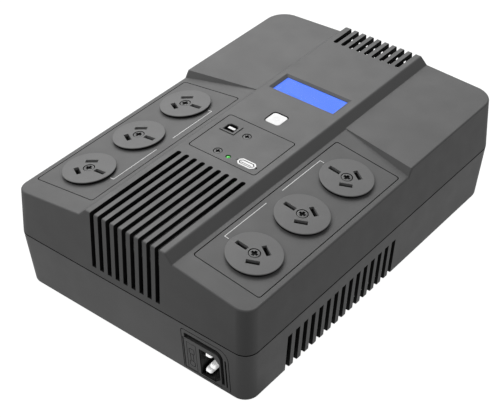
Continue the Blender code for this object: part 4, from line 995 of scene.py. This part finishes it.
def cut_underside(shell):
    """Battery opening, foot seats and screw holes."""
    door_low, door_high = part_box("battery_door")
    step = 3.0 * MM
    outer = [(door_low.x - GAP, door_high.x + GAP), (door_low.y - GAP, door_high.y + GAP)]
    inner = [(low + step, high - step) for low, high in outer]
    combine(shell, box("recess", *outer, (BASE_Z - BEYOND, BASE_Z + 1.3 * MM)))
    combine(shell, box("hole", *inner, (BASE_Z - BEYOND, BASE_Z + WALL + BEYOND)))
    holes = []
    for corner in CORNERS:
        foot = node_centre("foot_" + corner)
        radius = node_size("foot_" + corner).x / 2 + GAP
        holes.append(rod("seat", radius, (BASE_Z - BEYOND, BASE_Z + 0.8 * MM), foot.xy))
        screw = node_centre("case_screw_" + corner)
        span = (BASE_Z - 1.2 * BEYOND, BASE_Z + WALL + BEYOND)
        holes.append(rod("bore", POST_BORE, span, screw.xy, 32))
    combine(shell, merge("holes", holes))
    posts = []
    low, seat, high = (BASE_Z + 1.2 * MM, BASE_Z + 6 * MM, SEAM_Z - 1 * MM)
    profile = [(POST_RADIUS, low), (POST_RADIUS, high), (SHANK_HOLE, high), (SHANK_HOLE, seat),
               (POST_BORE, seat), (POST_BORE, low)]
    for corner in CORNERS:
        screw = node_centre("case_screw_" + corner)
        rings = [circle(radius, z, screw.xy, 32) for radius, z in profile]
        posts.append(loft("post", rings, loop=True))
    # The posts are painted near-black as shade inside the case.
    combine(shell, merge("posts", posts), "UNION", look=PAINTED_SHADE)


# ================================================================ outlet banks
OUTLET_ROWS = ("front", "middle", "rear")


def pin_places(side):
    """Place and turn of the earth, line and neutral slots round an outlet's centre."""
    return [(-side * EARTH_OFFSET, 0.0, 0.0),
            (side * LIVE_OFFSET[0], LIVE_OFFSET[1], -side * PIN_TURN),
            (side * LIVE_OFFSET[0], -LIVE_OFFSET[1], side * PIN_TURN)]


def pin_cutters(side, size, z_range):
    cutters = []
    for x, y, turn in pin_places(side):
        slot = box("slot", *spans((0.0, 0.0), size), z_range)
        cutters.append(moved(slot, Matrix.Translation((x, y, 0.0)) @ Matrix.Rotation(turn, 4, "Z")))
    return cutters


def make_socket_panel(side, word):
    node = "outlet_panel_" + word
    centre = (side * PANEL_OUTBOARD, node_centre(node).y)
    name = "socket_panel_" + word
    size = [length - PLATE_GAP for length in PANEL_SIZE]
    panel = place(name, plate(name, centre, size, PANEL_CORNER, (-PANEL_DEPTH, 0.0)), deck_matrix(side))
    radius = BOSS_RADIUS + 0.4 * MM
    holes = []
    for row in OUTLET_ROWS:
        place_xy = (side * OUTLET_OUTBOARD, node_centre("outlet_face_" + word + "_" + row).y)
        holes.append(rod("hole", radius, (-2 * PANEL_DEPTH, BEYOND), place_xy))
    combine(panel, merge("holes", holes))
    soften(panel, 0.25 * MM)
    finish_piece(panel, PANEL_LOOK, "case", [node])


def make_socket(side, word, row):
    node = "outlet_face_" + word + "_" + row
    spot = deck_matrix(side) @ Matrix.Translation((side * OUTLET_OUTBOARD, node_centre(node).y, 0.0))
    # The rim is undercut towards the panel, and the plate is thin over a contact block painted near-black as
    # shade.
    inner = BOSS_RADIUS - 1.6 * MM
    under = OUTLET_RISE - FACE_THICKNESS
    outside = [(BOSS_RADIUS, -FACE_DEPTH), (BOSS_RADIUS, 0.25 * MM), (OUTLET_RADIUS - 0.5 * MM, 0.25 * MM),
               (OUTLET_RADIUS - 0.1 * MM, OUTLET_RISE - FACE_EDGE)]
    outside += round_over(OUTLET_RADIUS, OUTLET_RISE, 0.45 * MM)
    face = place("socket_face_" + word + "_" + row, turned("face", outside, segments=96), spot)
    add_looks(face, OUTLET_LOOK, PAINTED_SHADE_LOOK, SLOT_PAINTED_LIGHT_LOOK)
    # The rim's side below its edge is painted near-black as shade.
    paint_shade_below(face, OUTLET_RISE - FACE_EDGE)
    through = (-FACE_DEPTH - BEYOND, OUTLET_RISE + BEYOND)
    combine(face, rod("hollow", inner, (through[0], under)))
    # The pin slots' walls take a light grey as painted light, where they lie in shade.
    combine(face, merge("holes", pin_cutters(side, PIN_MOUTH, through)), look=SLOT_PAINTED_LIGHT)
    sink = node_size("outlet_screw_" + word + "_" + row).y / 2 + SCREW_GAP
    # The gap round the screw head is painted near-black as shade.
    combine(face, rod("sink", sink, (-BEYOND, through[1])), look=PAINTED_SHADE)
    soften(face, 0.14 * MM, angle=50.0)
    finish_piece(face, None, "case", [node])
    # The contact block is painted near-black as shade.
    core = place("socket_core_" + word + "_" + row,
                 rod("core", inner - 0.2 * MM, (-8.6 * MM, under - 0.1 * MM)), spot)
    slits = pin_cutters(side, PIN_SLIT, (-6 * MM, BEYOND))
    combine(core, merge("slits", slits + [rod("sink", sink, (-2.5 * MM, 2 * MM))]))
    finish_piece(core, PAINTED_SHADE_LOOK, "case")
    make_cross_screw("socket_screw_" + word + "_" + row, spot, OUTLET_RISE - 0.1 * MM,
                     "outlet_screw_" + word + "_" + row)


def make_cross_screw(name, spot, head_z, node):
    """A pan head with a deep cross, set just below the surface round it."""
    radius = node_size(node).y / 2
    profile = [(1.3 * MM, head_z - 3.6 * MM), (1.3 * MM, head_z - 1.5 * MM), (radius, head_z - 1.3 * MM),
               (radius, head_z - 0.3 * MM), (radius - 0.12 * MM, head_z - 0.12 * MM),
               (radius - 0.4 * MM, head_z - 0.02 * MM), (radius * 0.5, head_z)]
    screw = place(name, turned(name, profile, segments=40), spot)
    add_looks(screw, SCREW_LOOK, PAINTED_SHADE_LOOK)
    # The cross's faces are painted near-black as shade in the recess.
    for turn in (0.0, 90.0):
        arm = tapered_box((1.35 * radius, 0.55 * radius), (1.1 * radius, 0.45 * radius),
                          (head_z - 1.2 * MM, head_z + 0.2 * MM))
        combine(screw, moved(arm, Matrix.Rotation(math.radians(turn), 4, "Z")), look=PAINTED_SHADE)
    finish_piece(screw, None, "case", [node])


def tapered_box(top_size, low_size, z_range):
    rings = []
    for size, z in ((low_size, z_range[0]), (top_size, z_range[1])):
        rings.append(ring_at(rectangle(*spans((0.0, 0.0), size)), z))
    return loft("arm", rings)


def make_brackets(side, word):
    """Thin printed lines that group the outlets, with a tick towards them at each end."""
    for index, (rear, front) in enumerate(BRACKET_SPANS):
        line = BRACKET_INSET[word]
        tick_y = rear if index == 0 else front
        way = -1 if index == 0 else 1
        other = front if index == 0 else rear
        outline = [(line, other), (line, tick_y), (line + BRACKET_TICK, tick_y),
                   (line + BRACKET_TICK, tick_y + way * BRACKET_WIDTH),
                   (line + BRACKET_WIDTH, tick_y + way * BRACKET_WIDTH), (line + BRACKET_WIDTH, other)]
        name = "outlet_bracket_" + word + "_" + ("rear" if index == 0 else "front")
        outline = [(side * x, y) for x, y in outline]
        bracket = place(name, prism(name, outline, (-0.05 * MM, 0.03 * MM)), deck_matrix(side))
        finish_piece(bracket, PRINT_LOOK, "case", angle=None)


# ================================================================ spine fittings
def charger_outline(grow=0.0):
    """The charging port's outline: a bar with cut corners."""
    size = node_size("usb_charger_port")
    x = size.x / 2 + grow
    y = size.y / 2 + grow
    cut = 2.1 * MM + grow * 0.4
    return [(x, -y + cut), (x, y - cut), (x - cut, y), (-x + cut, y),
            (-x, y - cut), (-x, -y + cut), (-x + cut, -y), (x - cut, -y)]


def data_outline(half_x, half_y, cut):
    """The data port's mouth: a square with two cut corners at the rear."""
    return [(-half_x, -half_y), (half_x, -half_y), (half_x, half_y - cut), (half_x - cut, half_y),
            (-half_x + cut, half_y), (-half_x, half_y - cut)]


def shifted(outline, centre):
    return [(x + centre.x, y + centre.y) for x, y in outline]


def make_interface():
    centre = node_centre("interface_panel")
    name = "interface_plate"
    size = [length - PLATE_GAP for length in INTERFACE_SIZE]
    cover = place(name, plate(name, centre, size, INTERFACE_CORNER, (SPINE_Z - 4 * MM, SPINE_Z)))
    through = (SPINE_Z - 6 * MM, SPINE_Z + BEYOND)
    data = node_centre("usb_data_port")
    data_size = node_size("usb_data_port")
    charger = node_centre("usb_charger_port")
    charger_size = node_size("usb_charger_port")
    lamp = node_centre("status_light")
    lamp_radius = node_size("status_light").x / 2
    cutters = [
        box("hole", *spans(data, (data_size.x + GAP, data_size.y + GAP)), through),
        prism("hole", shifted(charger_outline(0.12 * MM), charger), through),
        rod("hole", lamp_radius + 0.35 * MM, through, lamp.xy),
    ]
    for word in ("front", "rear"):
        screw = node_centre("interface_screw_" + word)
        radius = node_size("interface_screw_" + word).y / 2 + SCREW_GAP
        cutters.append(rod("sink", radius, (SPINE_Z - 2.2 * MM, through[1]), screw.xy))
    combine(cover, merge("holes", cutters))
    notch_size = (charger_size.x + 2.4 * MM, 1.7 * MM)
    combine(cover, box("notch", *spans(charger, notch_size), (SPINE_Z - 2.5 * MM, SPINE_Z + BEYOND)))
    soften(cover, 0.16 * MM, angle=50.0)
    finish_piece(cover, PANEL_LOOK, "case", ["interface_panel"])
    for word in ("front", "rear"):
        node = "interface_screw_" + word
        make_cross_screw("plate_screw_" + word, spot_over(node_centre(node), SPINE_Z), -0.2 * MM, node)
    make_data_port(data, data_size)
    make_charger_port(charger)
    make_status_lamp(lamp, lamp_radius)


def make_data_port(centre, size):
    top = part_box("usb_data_port")[1].z
    spot = spot_over(centre)
    block = box("shell", *spans((0.0, 0.0), (size.x, size.y)), (top - 10 * MM, top))
    shell = place("data_port_shell", block, spot)
    mouth = data_outline(4.7 * MM, 4.3 * MM, 1.8 * MM)
    combine(shell, prism("mouth", mouth, (top - 8.5 * MM, top + BEYOND)))
    soften(shell, 0.18 * MM)
    finish_piece(shell, PANEL_LOOK, "case", ["usb_data_port"])
    wall = 0.45 * MM
    liner = place("data_port_liner", prism("liner", data_outline(4.67 * MM, 4.27 * MM, 1.8 * MM),
                                           (top - 8.4 * MM, top - 0.12 * MM)), spot)
    combine(liner, prism("well", data_outline(4.67 * MM - wall, 4.27 * MM - wall, 1.7 * MM),
                         (top - 7.6 * MM, top + BEYOND)))
    finish_piece(liner, PORT_BLACK_LOOK, "case")
    tongue = rectangle((-2.8 * MM, 3.0 * MM), (-0.6 * MM, 1.6 * MM))
    make_tongue("data_port_tongue", tongue, top - 0.7 * MM, spot)


def make_charger_port(centre):
    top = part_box("usb_charger_port")[1].z
    spot = spot_over(centre)
    shell = place("charger_port_shell", prism("shell", charger_outline(), (top - 9 * MM, top)), spot)
    add_looks(shell, PORT_WHITE_LOOK, PAINTED_SHADE_LOOK)
    # The well's faces are painted near-black as shade.
    combine(shell, prism("well", charger_outline(-1.25 * MM), (top - 7.6 * MM, top + BEYOND)), look=PAINTED_SHADE)
    soften(shell, 0.15 * MM)
    finish_piece(shell, None, "case", ["usb_charger_port"])
    slit = box("slit", (-4.4 * MM, 4.4 * MM), (-0.85 * MM, -0.4 * MM), (top - 2 * MM, top + BEYOND))
    make_tongue("charger_port_tongue", charger_outline(-1.8 * MM), top - 0.05 * MM, spot, slit)


def make_tongue(name, outline, top, spot, slit=None):
    """A port's inner tongue: a white tip on sides painted dark as shade; a slit in it is painted the same."""
    sides_top = top - 0.3 * MM
    tongue = place(name, prism("tongue", outline, (top - 6.8 * MM, sides_top, top)), spot)
    add_looks(tongue, PORT_WHITE_LOOK, PAINTED_SHADE_LOOK)
    paint_shade_below(tongue, sides_top)
    if slit:
        combine(tongue, slit, look=PAINTED_SHADE)
    soften(tongue, 0.08 * MM)
    finish_piece(tongue, None, "case")


def make_status_lamp(centre, radius):
    spot = spot_over(centre, SPINE_Z)
    profile = [(radius, -8 * MM), (radius, -1.1 * MM)]
    for k in range(1, 9):
        angle = math.radians(88 * k / 8)
        profile.append((radius * math.cos(angle), (-1.1 + 1.0 * math.sin(angle)) * MM))
    lamp = place("status_lamp", turned("lamp", profile, segments=40), spot)
    finish_piece(lamp, LAMP_LOOK, "case", ["status_light"], angle=50.0)
    outer, inner, foot = (radius + 0.30 * MM, radius + 0.05 * MM, -4 * MM)
    profile = ((outer, foot), (outer, -0.08 * MM), (inner, -0.3 * MM), (inner, foot))
    rings = [circle(reach, z, segments=40) for reach, z in profile]
    collar = place("status_lamp_collar", loft("collar", rings, loop=True), spot)
    finish_piece(collar, PORT_BLACK_LOOK, "case")


def make_display():
    module_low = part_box("display_module")[0]
    view = display_spans(-BEZEL_INSET - 0.05 * MM)
    screen_top = SPINE_Z - BEZEL_DROP - 0.35 * MM
    name = "display_screen"
    screen = place(name, prism(name, rounded(*view, 0.6 * MM), (module_low.z, screen_top)))
    soften(screen, 0.1 * MM)
    finish_piece(screen, SCREEN_LOOK, "case", ["display_module"])
    name = "display_glass"
    glass = place(name, prism(name, rounded(*view, 0.6 * MM), (screen_top + 0.05 * MM, SPINE_Z - BEZEL_DROP)))
    soften(glass, 0.12 * MM)
    finish_piece(glass, GLASS_LOOK, "case", ["display_window"])


def make_button():
    centre = node_centre("power_button")
    low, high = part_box("power_button")
    side = button_size()
    rings = []
    levels = [(high.z - 3.2 * MM, 0.0), (high.z - 0.55 * MM, 0.0), (high.z - 0.25 * MM, 0.08 * MM),
              (high.z - 0.08 * MM, 0.3 * MM), (high.z, 0.75 * MM)]
    for z, inset in levels:
        square = spans((0.0, 0.0), (side - 2 * inset, side - 2 * inset))
        rings.append(ring_at(rounded(*square, BUTTON_CORNER - inset * 0.6), z))
    key = place("power_key", loft("key", rings), spot_over(centre))
    # A shallow ring and bar are pressed into the cap, as the usual on-off sign.
    cut = (high.z - 0.12 * MM, high.z + BEYOND)
    outer, inner = (2.45 * MM, 2.05 * MM)
    profile = ((outer, cut[0]), (outer, cut[1]), (inner, cut[1]), (inner, cut[0]))
    combine(key, loft("ring", [circle(radius, z, segments=40) for radius, z in profile], loop=True))
    combine(key, box("bar", (-0.22 * MM, 0.22 * MM), (0.6 * MM, 3.2 * MM), cut))
    stem = rod("stem", 2.0 * MM, (low.z, high.z - 3.0 * MM))
    flange = box("flange", (low.x - centre.x, high.x - centre.x), (low.y - centre.y, high.y - centre.y),
                 (high.z - 4.0 * MM, high.z - 2.6 * MM))
    combine(key, flange, "UNION")
    combine(key, stem, "UNION")
    finish_piece(key, BUTTON_LOOK, "button", ["power_button"], angle=40.0)


# ================================================================ mains inlet
def socket_outline(grow=0.0):
    """The inlet's mouth: a rectangle with its two right-hand corners cut off."""
    x0 = inlet_low.x + MOUTH_X[0] - grow
    x1 = inlet_low.x + MOUTH_X[1] + grow
    z0 = inlet_low.z + MOUTH_Z[0] - grow
    z1 = inlet_low.z + MOUTH_Z[1] + grow
    cut = MOUTH_CUT
    return [(x0, z0), (x1 - cut, z0), (x1, z0 + cut), (x1, z1 - cut), (x1 - cut, z1), (x0, z1)]


def lean_with_wall(item, face):
    """Tilt a piece's upright front to stand just behind the tapered front wall, and parallel to it."""
    for vertex in item.data.vertices:
        if vertex.co.y < face + 1.5 * MM:
            vertex.co.y += front_y(vertex.co.z) + FACE_SINK - face


def make_inlet():
    face = INLET_FACE
    outline = face_outline((inlet_low.x, BLOCK_RIGHT), (inlet_low.z, BLOCK_TOP), BLOCK_CORNER)
    block = place("inlet_block", face_block("block", outline, (face, inlet_high.y)))
    add_looks(block, CASE_BASE_LOOK, PAINTED_SHADE_LOOK, MOAT_PAINTED_SHADE_LOOK)
    # The block's sides and back take the moat's painted shade; the mouth and the fuse bay are painted
    # near-black as shade.
    for polygon in list(block.data.polygons)[1:]:
        polygon.material_index = MOAT_PAINTED_SHADE
    combine(block, face_block("mouth", socket_outline(), (face - BEYOND, face + MOUTH_DEPTH)), look=PAINTED_SHADE)
    drawer_low, drawer_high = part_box("fuse_drawer")
    bay = [(drawer_low.x - GAP, drawer_high.x + GAP), (face - BEYOND, drawer_high.y + 1 * MM),
           (drawer_low.z - GAP, drawer_high.z + GAP)]
    combine(block, box("bay", *bay), look=PAINTED_SHADE)
    soften(block, 0.2 * MM)
    lean_with_wall(block, face)
    finish_piece(block, None, "case", ["mains_inlet"])
    back = face + MOUTH_DEPTH - 0.1 * MM
    sleeve = face_block("lining", socket_outline(-0.05 * MM), (face + 0.5 * MM, back))
    lining = place("inlet_lining", sleeve)
    combine(lining, face_block("well", socket_outline(-0.6 * MM), (face - BEYOND, back - 0.7 * MM)))
    lean_with_wall(lining, face)
    finish_piece(lining, PORT_BLACK_LOOK, "case")
    make_blades(back - 0.8 * MM)


def make_blades(foot):
    """The inlet's three contact blades, from their foot in the block to chamfered tips."""
    for node in ("line_pin", "neutral_pin", "earth_pin"):
        low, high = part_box(node)
        reach = low.y - (0.8 * MM if node == "earth_pin" else 0.0)
        rings = []
        stations = ((foot, 0.0), (reach + 1.6 * MM, 0.0), (reach + 0.5 * MM, 0.35 * MM), (reach, 0.75 * MM))
        for y, inset in stations:
            corners = rounded((low.x - 0.3 * MM + inset, high.x + 0.3 * MM - inset),
                              (low.z - 1.6 * MM + inset, high.z - 0.5 * MM - inset), 0.2 * MM, steps=2)
            rings.append([(x, y, z) for x, z in corners])
        blade = place(node.replace("_pin", "_blade"), loft("blade", rings))
        finish_piece(blade, PIN_LOOK, "case", [node], angle=25.0)


def engraved_loop(outline, inner, y, depth):
    """A fine line engraved in the drawer's front, between two outlines in X and Z."""
    rings = [[(x, y - BEYOND, z) for x, z in outline], [(x, y + depth, z) for x, z in outline],
             [(x, y + depth, z) for x, z in inner], [(x, y - BEYOND, z) for x, z in inner]]
    return loft("loop", rings, loop=True)


def make_fuse_carrier():
    low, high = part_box("fuse_drawer")
    body = place("fuse_carrier", box("body", (low.x, high.x), (low.y, high.y), (low.z, high.z)))
    add_looks(body, CASE_BASE_LOOK, PAINTED_SHADE_LOOK)
    wall = 1.2 * MM
    combine(body, box("trough", (low.x + wall, high.x + BEYOND), (low.y + 2.2 * MM, high.y - wall),
                      (low.z + wall, high.z - wall)))
    # The front is engraved with a fuse-shaped sign: two caps and the tube between them, the grooves painted
    # near-black as shade.
    centre = ((low.x + high.x) / 2, (low.z + high.z) / 2 - 0.7 * MM)
    line = 0.4 * MM
    depth = 0.5 * MM
    for offset in (-5.7 * MM, 5.7 * MM):
        sides = spans((centre[0], centre[1] + offset), (4.6 * MM, 5.2 * MM))
        inner = [(start + line, end - line) for start, end in sides]
        loop = engraved_loop(rounded(*sides, 1.4 * MM), rounded(*inner, 1.0 * MM), low.y, depth)
        combine(body, loop, look=PAINTED_SHADE)
    for offset in (-1.2 * MM, 1.2 * MM):
        x_range, z_range = spans((centre[0] + offset, centre[1]), (line, 6.4 * MM))
        combine(body, box("line", x_range, (low.y - BEYOND, low.y + depth), z_range), look=PAINTED_SHADE)
    soften(body, 0.1 * MM)
    lean_with_wall(body, low.y)
    finish_piece(body, None, "fuse_carrier", ["fuse_drawer"])


# ================================================================ underside
def make_feet():
    for corner in CORNERS:
        node = "foot_" + corner
        low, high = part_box(node)
        radius = (high.x - low.x) / 2
        centre = (low + high) / 2
        profile = [(radius * 0.45, 0.25 * MM), (radius * 0.55, 0.0), (radius - 0.8 * MM, 0.0),
                   (radius - 0.25 * MM, 0.12 * MM), (radius, 0.5 * MM), (radius, high.z)]
        foot = place("rubber_" + node, turned("foot", profile, segments=64), spot_over(centre))
        finish_piece(foot, RUBBER_LOOK, "case", [node], angle=50.0)


def softened_copy(node, name, width, material, body):
    """A carried-over shape with its edges rounded."""
    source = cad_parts[node].data.copy()
    item = place(name, source)
    shape = bmesh.new()
    shape.from_mesh(source)
    bmesh.ops.remove_doubles(shape, verts=shape.verts, dist=0.002 * MM)
    bmesh.ops.dissolve_limit(shape, angle_limit=math.radians(1.0), verts=shape.verts, edges=shape.edges)
    shape.to_mesh(source)
    shape.free()
    soften(item, width)
    finish_piece(item, material, body, [node])


def make_underside():
    make_feet()
    softened_copy("battery_door", "battery_cover", 0.25 * MM, CASE_BASE_LOOK, "door")
    for corner in CORNERS:
        node = "case_screw_" + corner
        softened_copy(node, "long_screw_" + corner, 0.15 * MM, SCREW_LOOK, "case")


# ================================================================ carried-over internals
def dress_internals():
    looks = {
        "battery": moulded_plastic("battery_case", grey(0.025), 0.45, wear=0.3),
        "battery_terminal_positive": metal("terminal_brass", (0.72, 0.55, 0.28), 0.32),
        "battery_lead_red": gloss_plastic("lead_red", (0.50, 0.02, 0.02), 0.42),
        "battery_lead_black": gloss_plastic("lead_black", grey(0.015), 0.42),
        "transformer_core": striped("core_steel", grey(0.16), grey(0.06), 1600.0, "Y", 0.5, 0.7, 0.1 * MM),
        "transformer_coil": striped("coil_copper", (0.60, 0.25, 0.10), (0.25, 0.09, 0.03), 900.0, "Z",
                                    0.35, 0.8, 0.2 * MM),
        "main_board": circuit_board("board_green"),
        "heatsink": metal("fin_aluminium", grey(0.62), 0.35, 1.0, (300.0, 4000.0, 300.0)),
        "relay": gloss_plastic("relay_blue", (0.02, 0.07, 0.30), 0.35),
        "capacitor": gloss_plastic("capacitor_sleeve", (0.012, 0.012, 0.04), 0.3),
        "power_switch": gloss_plastic("switch_black", grey(0.02), 0.45),
        "fuse": metal("fuse_nickel", grey(0.75), 0.25, 0.9),
        "line_strip_left": metal("strip_brass", (0.68, 0.50, 0.22), 0.35),
    }
    shared = {"battery_terminal_negative": "battery_terminal_positive", "interface_board": "main_board",
              "switch_plunger": "power_switch"}
    for kind in ("earth", "line", "neutral"):
        for word in ("left", "right"):
            shared[kind + "_strip_" + word] = "line_strip_left"
    for node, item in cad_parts.items():
        if item.hide_render:
            continue
        look = looks.get(shared.get(node, node))
        if look is None:
            raise SystemExit("no look for " + node)
        item.data.materials.clear()
        item.data.materials.append(look)


# ================================================================ stage, light and camera
def emitter(name, location, target, size, power):
    light = bpy.data.lights.new(name, "AREA")
    light.shape = "RECTANGLE"
    light.size, light.size_y = size
    light.energy = power
    item = bpy.data.objects.new(name, light)
    bpy.context.scene.collection.objects.link(item)
    item.location = location
    item.rotation_euler = (Vector(target) - Vector(location)).to_track_quat("-Z", "Y").to_euler()
    return item


CAMERA_AZIMUTH = math.radians(38.91)
FLOOR_GLOW = 0.41                   # light that the glowing table gives the object
DARK_SIDE = 0.62                    # how much of it is held back on the camera's side
WORLD_GLOW = 0.36


def make_floor():
    """A light table: white to the camera, dimmer as a lamp, with a dark flag on the camera's side."""
    half = 12.0
    corners = ring_at(rectangle((-half, half), (-half, half)), 0.0)
    floor = place("floor", mesh_from("floor", corners, [(0, 1, 2, 3)]))
    look = Look("floor_paper")
    look.tint(look.spread(look.noise(30.0, 3.0), 0.0, 1.0), grey(0.07), grey(0.09))
    look.rough(0.85, 0.95, 90.0)
    corner = {0: look.place, 1: (HALF_WIDTH * 0.6, -HALF_LENGTH * 0.8, 0.0)}
    away = look.add("ShaderNodeVectorMath", corner, operation="SUBTRACT").outputs["Vector"]
    heading = look.add("ShaderNodeVectorMath", {0: away}, operation="NORMALIZE").outputs["Vector"]
    camera = {0: heading, 1: (math.sin(CAMERA_AZIMUTH), -math.cos(CAMERA_AZIMUTH), 0.0)}
    towards = look.add("ShaderNodeVectorMath", camera, operation="DOT_PRODUCT").outputs["Value"]
    limits = {"From Min": 0.55, "From Max": 0.95, "Value": towards,
              "To Min": FLOOR_GLOW, "To Max": FLOOR_GLOW * (1 - DARK_SIDE)}
    glow = look.add("ShaderNodeMapRange", limits, interpolation_type="SMOOTHSTEP").outputs["Result"]
    seen = look.add("ShaderNodeLightPath").outputs["Is Camera Ray"]
    look.shade({"Emission Color": (1.0, 1.0, 1.0), "Emission Strength": look.maths("MAXIMUM", glow, seen),
                "Specular IOR Level": 0.0})
    look.material.cycles.emission_sampling = "NONE"
    floor.data.materials.append(look.material)


def make_light():
    world = bpy.data.worlds.new("studio")
    world.use_nodes = True
    nodes = world.node_tree.nodes
    links = world.node_tree.links
    background = nodes["Background"]
    path = nodes.new("ShaderNodeLightPath")
    glow = nodes.new("ShaderNodeMath")
    glow.operation = "MAXIMUM"
    glow.inputs[1].default_value = WORLD_GLOW
    links.new(path.outputs["Is Camera Ray"], glow.inputs[0])
    links.new(glow.outputs[0], background.inputs["Strength"])
    background.inputs["Color"].default_value = (1.0, 1.0, 1.0, 1.0)
    bpy.context.scene.world = world
    spine = (0.0, 0.0, SPINE_Z)
    emitter("key_light", (-0.40, 0.0, 0.78), spine, (1.4, 0.3), 4.4)
    emitter("low_light", (-0.61, 0.0, 0.60), spine, (1.4, 0.3), 1.2)
    emitter("back_light", (-0.54, 0.66, 0.78), spine, (1.0, 0.8), 4.0)
    # A small lamp by the camera picks out the inlet's pins and nothing else.
    pins = bpy.data.collections.new("inlet_pins")
    for word in ("line", "neutral", "earth"):
        pins.objects.link(bpy.data.objects[word + "_blade"])
    inlet_foot = (inlet_high.x, inlet_low.y, inlet_low.z)
    pin_light = emitter("pin_light", (0.30, -0.62, 0.20), inlet_foot, (0.2, 0.2), 4.5)
    pin_light.light_linking.receiver_collection = pins


CAMERA_PLACE = (0.4534, -0.5802, 0.6110)
CAMERA_ELEVATION = math.radians(38.69)
CAMERA_ROLL = math.radians(-0.374)
CAMERA_LENS = 92.22                 # mm, on a 36 mm wide sensor


def make_camera():
    data = bpy.data.cameras.new("camera")
    data.lens = CAMERA_LENS
    data.sensor_width = 36.0
    data.clip_start = 0.01
    camera = bpy.data.objects.new("camera", data)
    bpy.context.scene.collection.objects.link(camera)
    level = math.cos(CAMERA_ELEVATION)
    back = Vector((math.sin(CAMERA_AZIMUTH) * level, -math.cos(CAMERA_AZIMUTH) * level,
                   math.sin(CAMERA_ELEVATION)))
    right = Vector((math.cos(CAMERA_AZIMUTH), math.sin(CAMERA_AZIMUTH), 0.0))
    up = back.cross(right)
    side = math.cos(CAMERA_ROLL) * right + math.sin(CAMERA_ROLL) * up
    top = back.cross(side)
    turn = Matrix((side, top, back)).transposed().to_4x4()
    camera.matrix_world = Matrix.Translation(CAMERA_PLACE) @ turn
    bpy.context.scene.camera = camera


# ================================================================ build
make_case_top()
make_case_base()
for bank_side, bank_word in ((-1, "left"), (1, "right")):
    make_socket_panel(bank_side, bank_word)
    make_brackets(bank_side, bank_word)
    for bank_row in OUTLET_ROWS:
        make_socket(bank_side, bank_word, bank_row)
make_interface()
make_display()
make_button()
make_inlet()
make_fuse_carrier()
make_underside()
dress_internals()
make_floor()
make_light()
make_camera()
bpy.context.scene.view_settings.view_transform = "Standard"
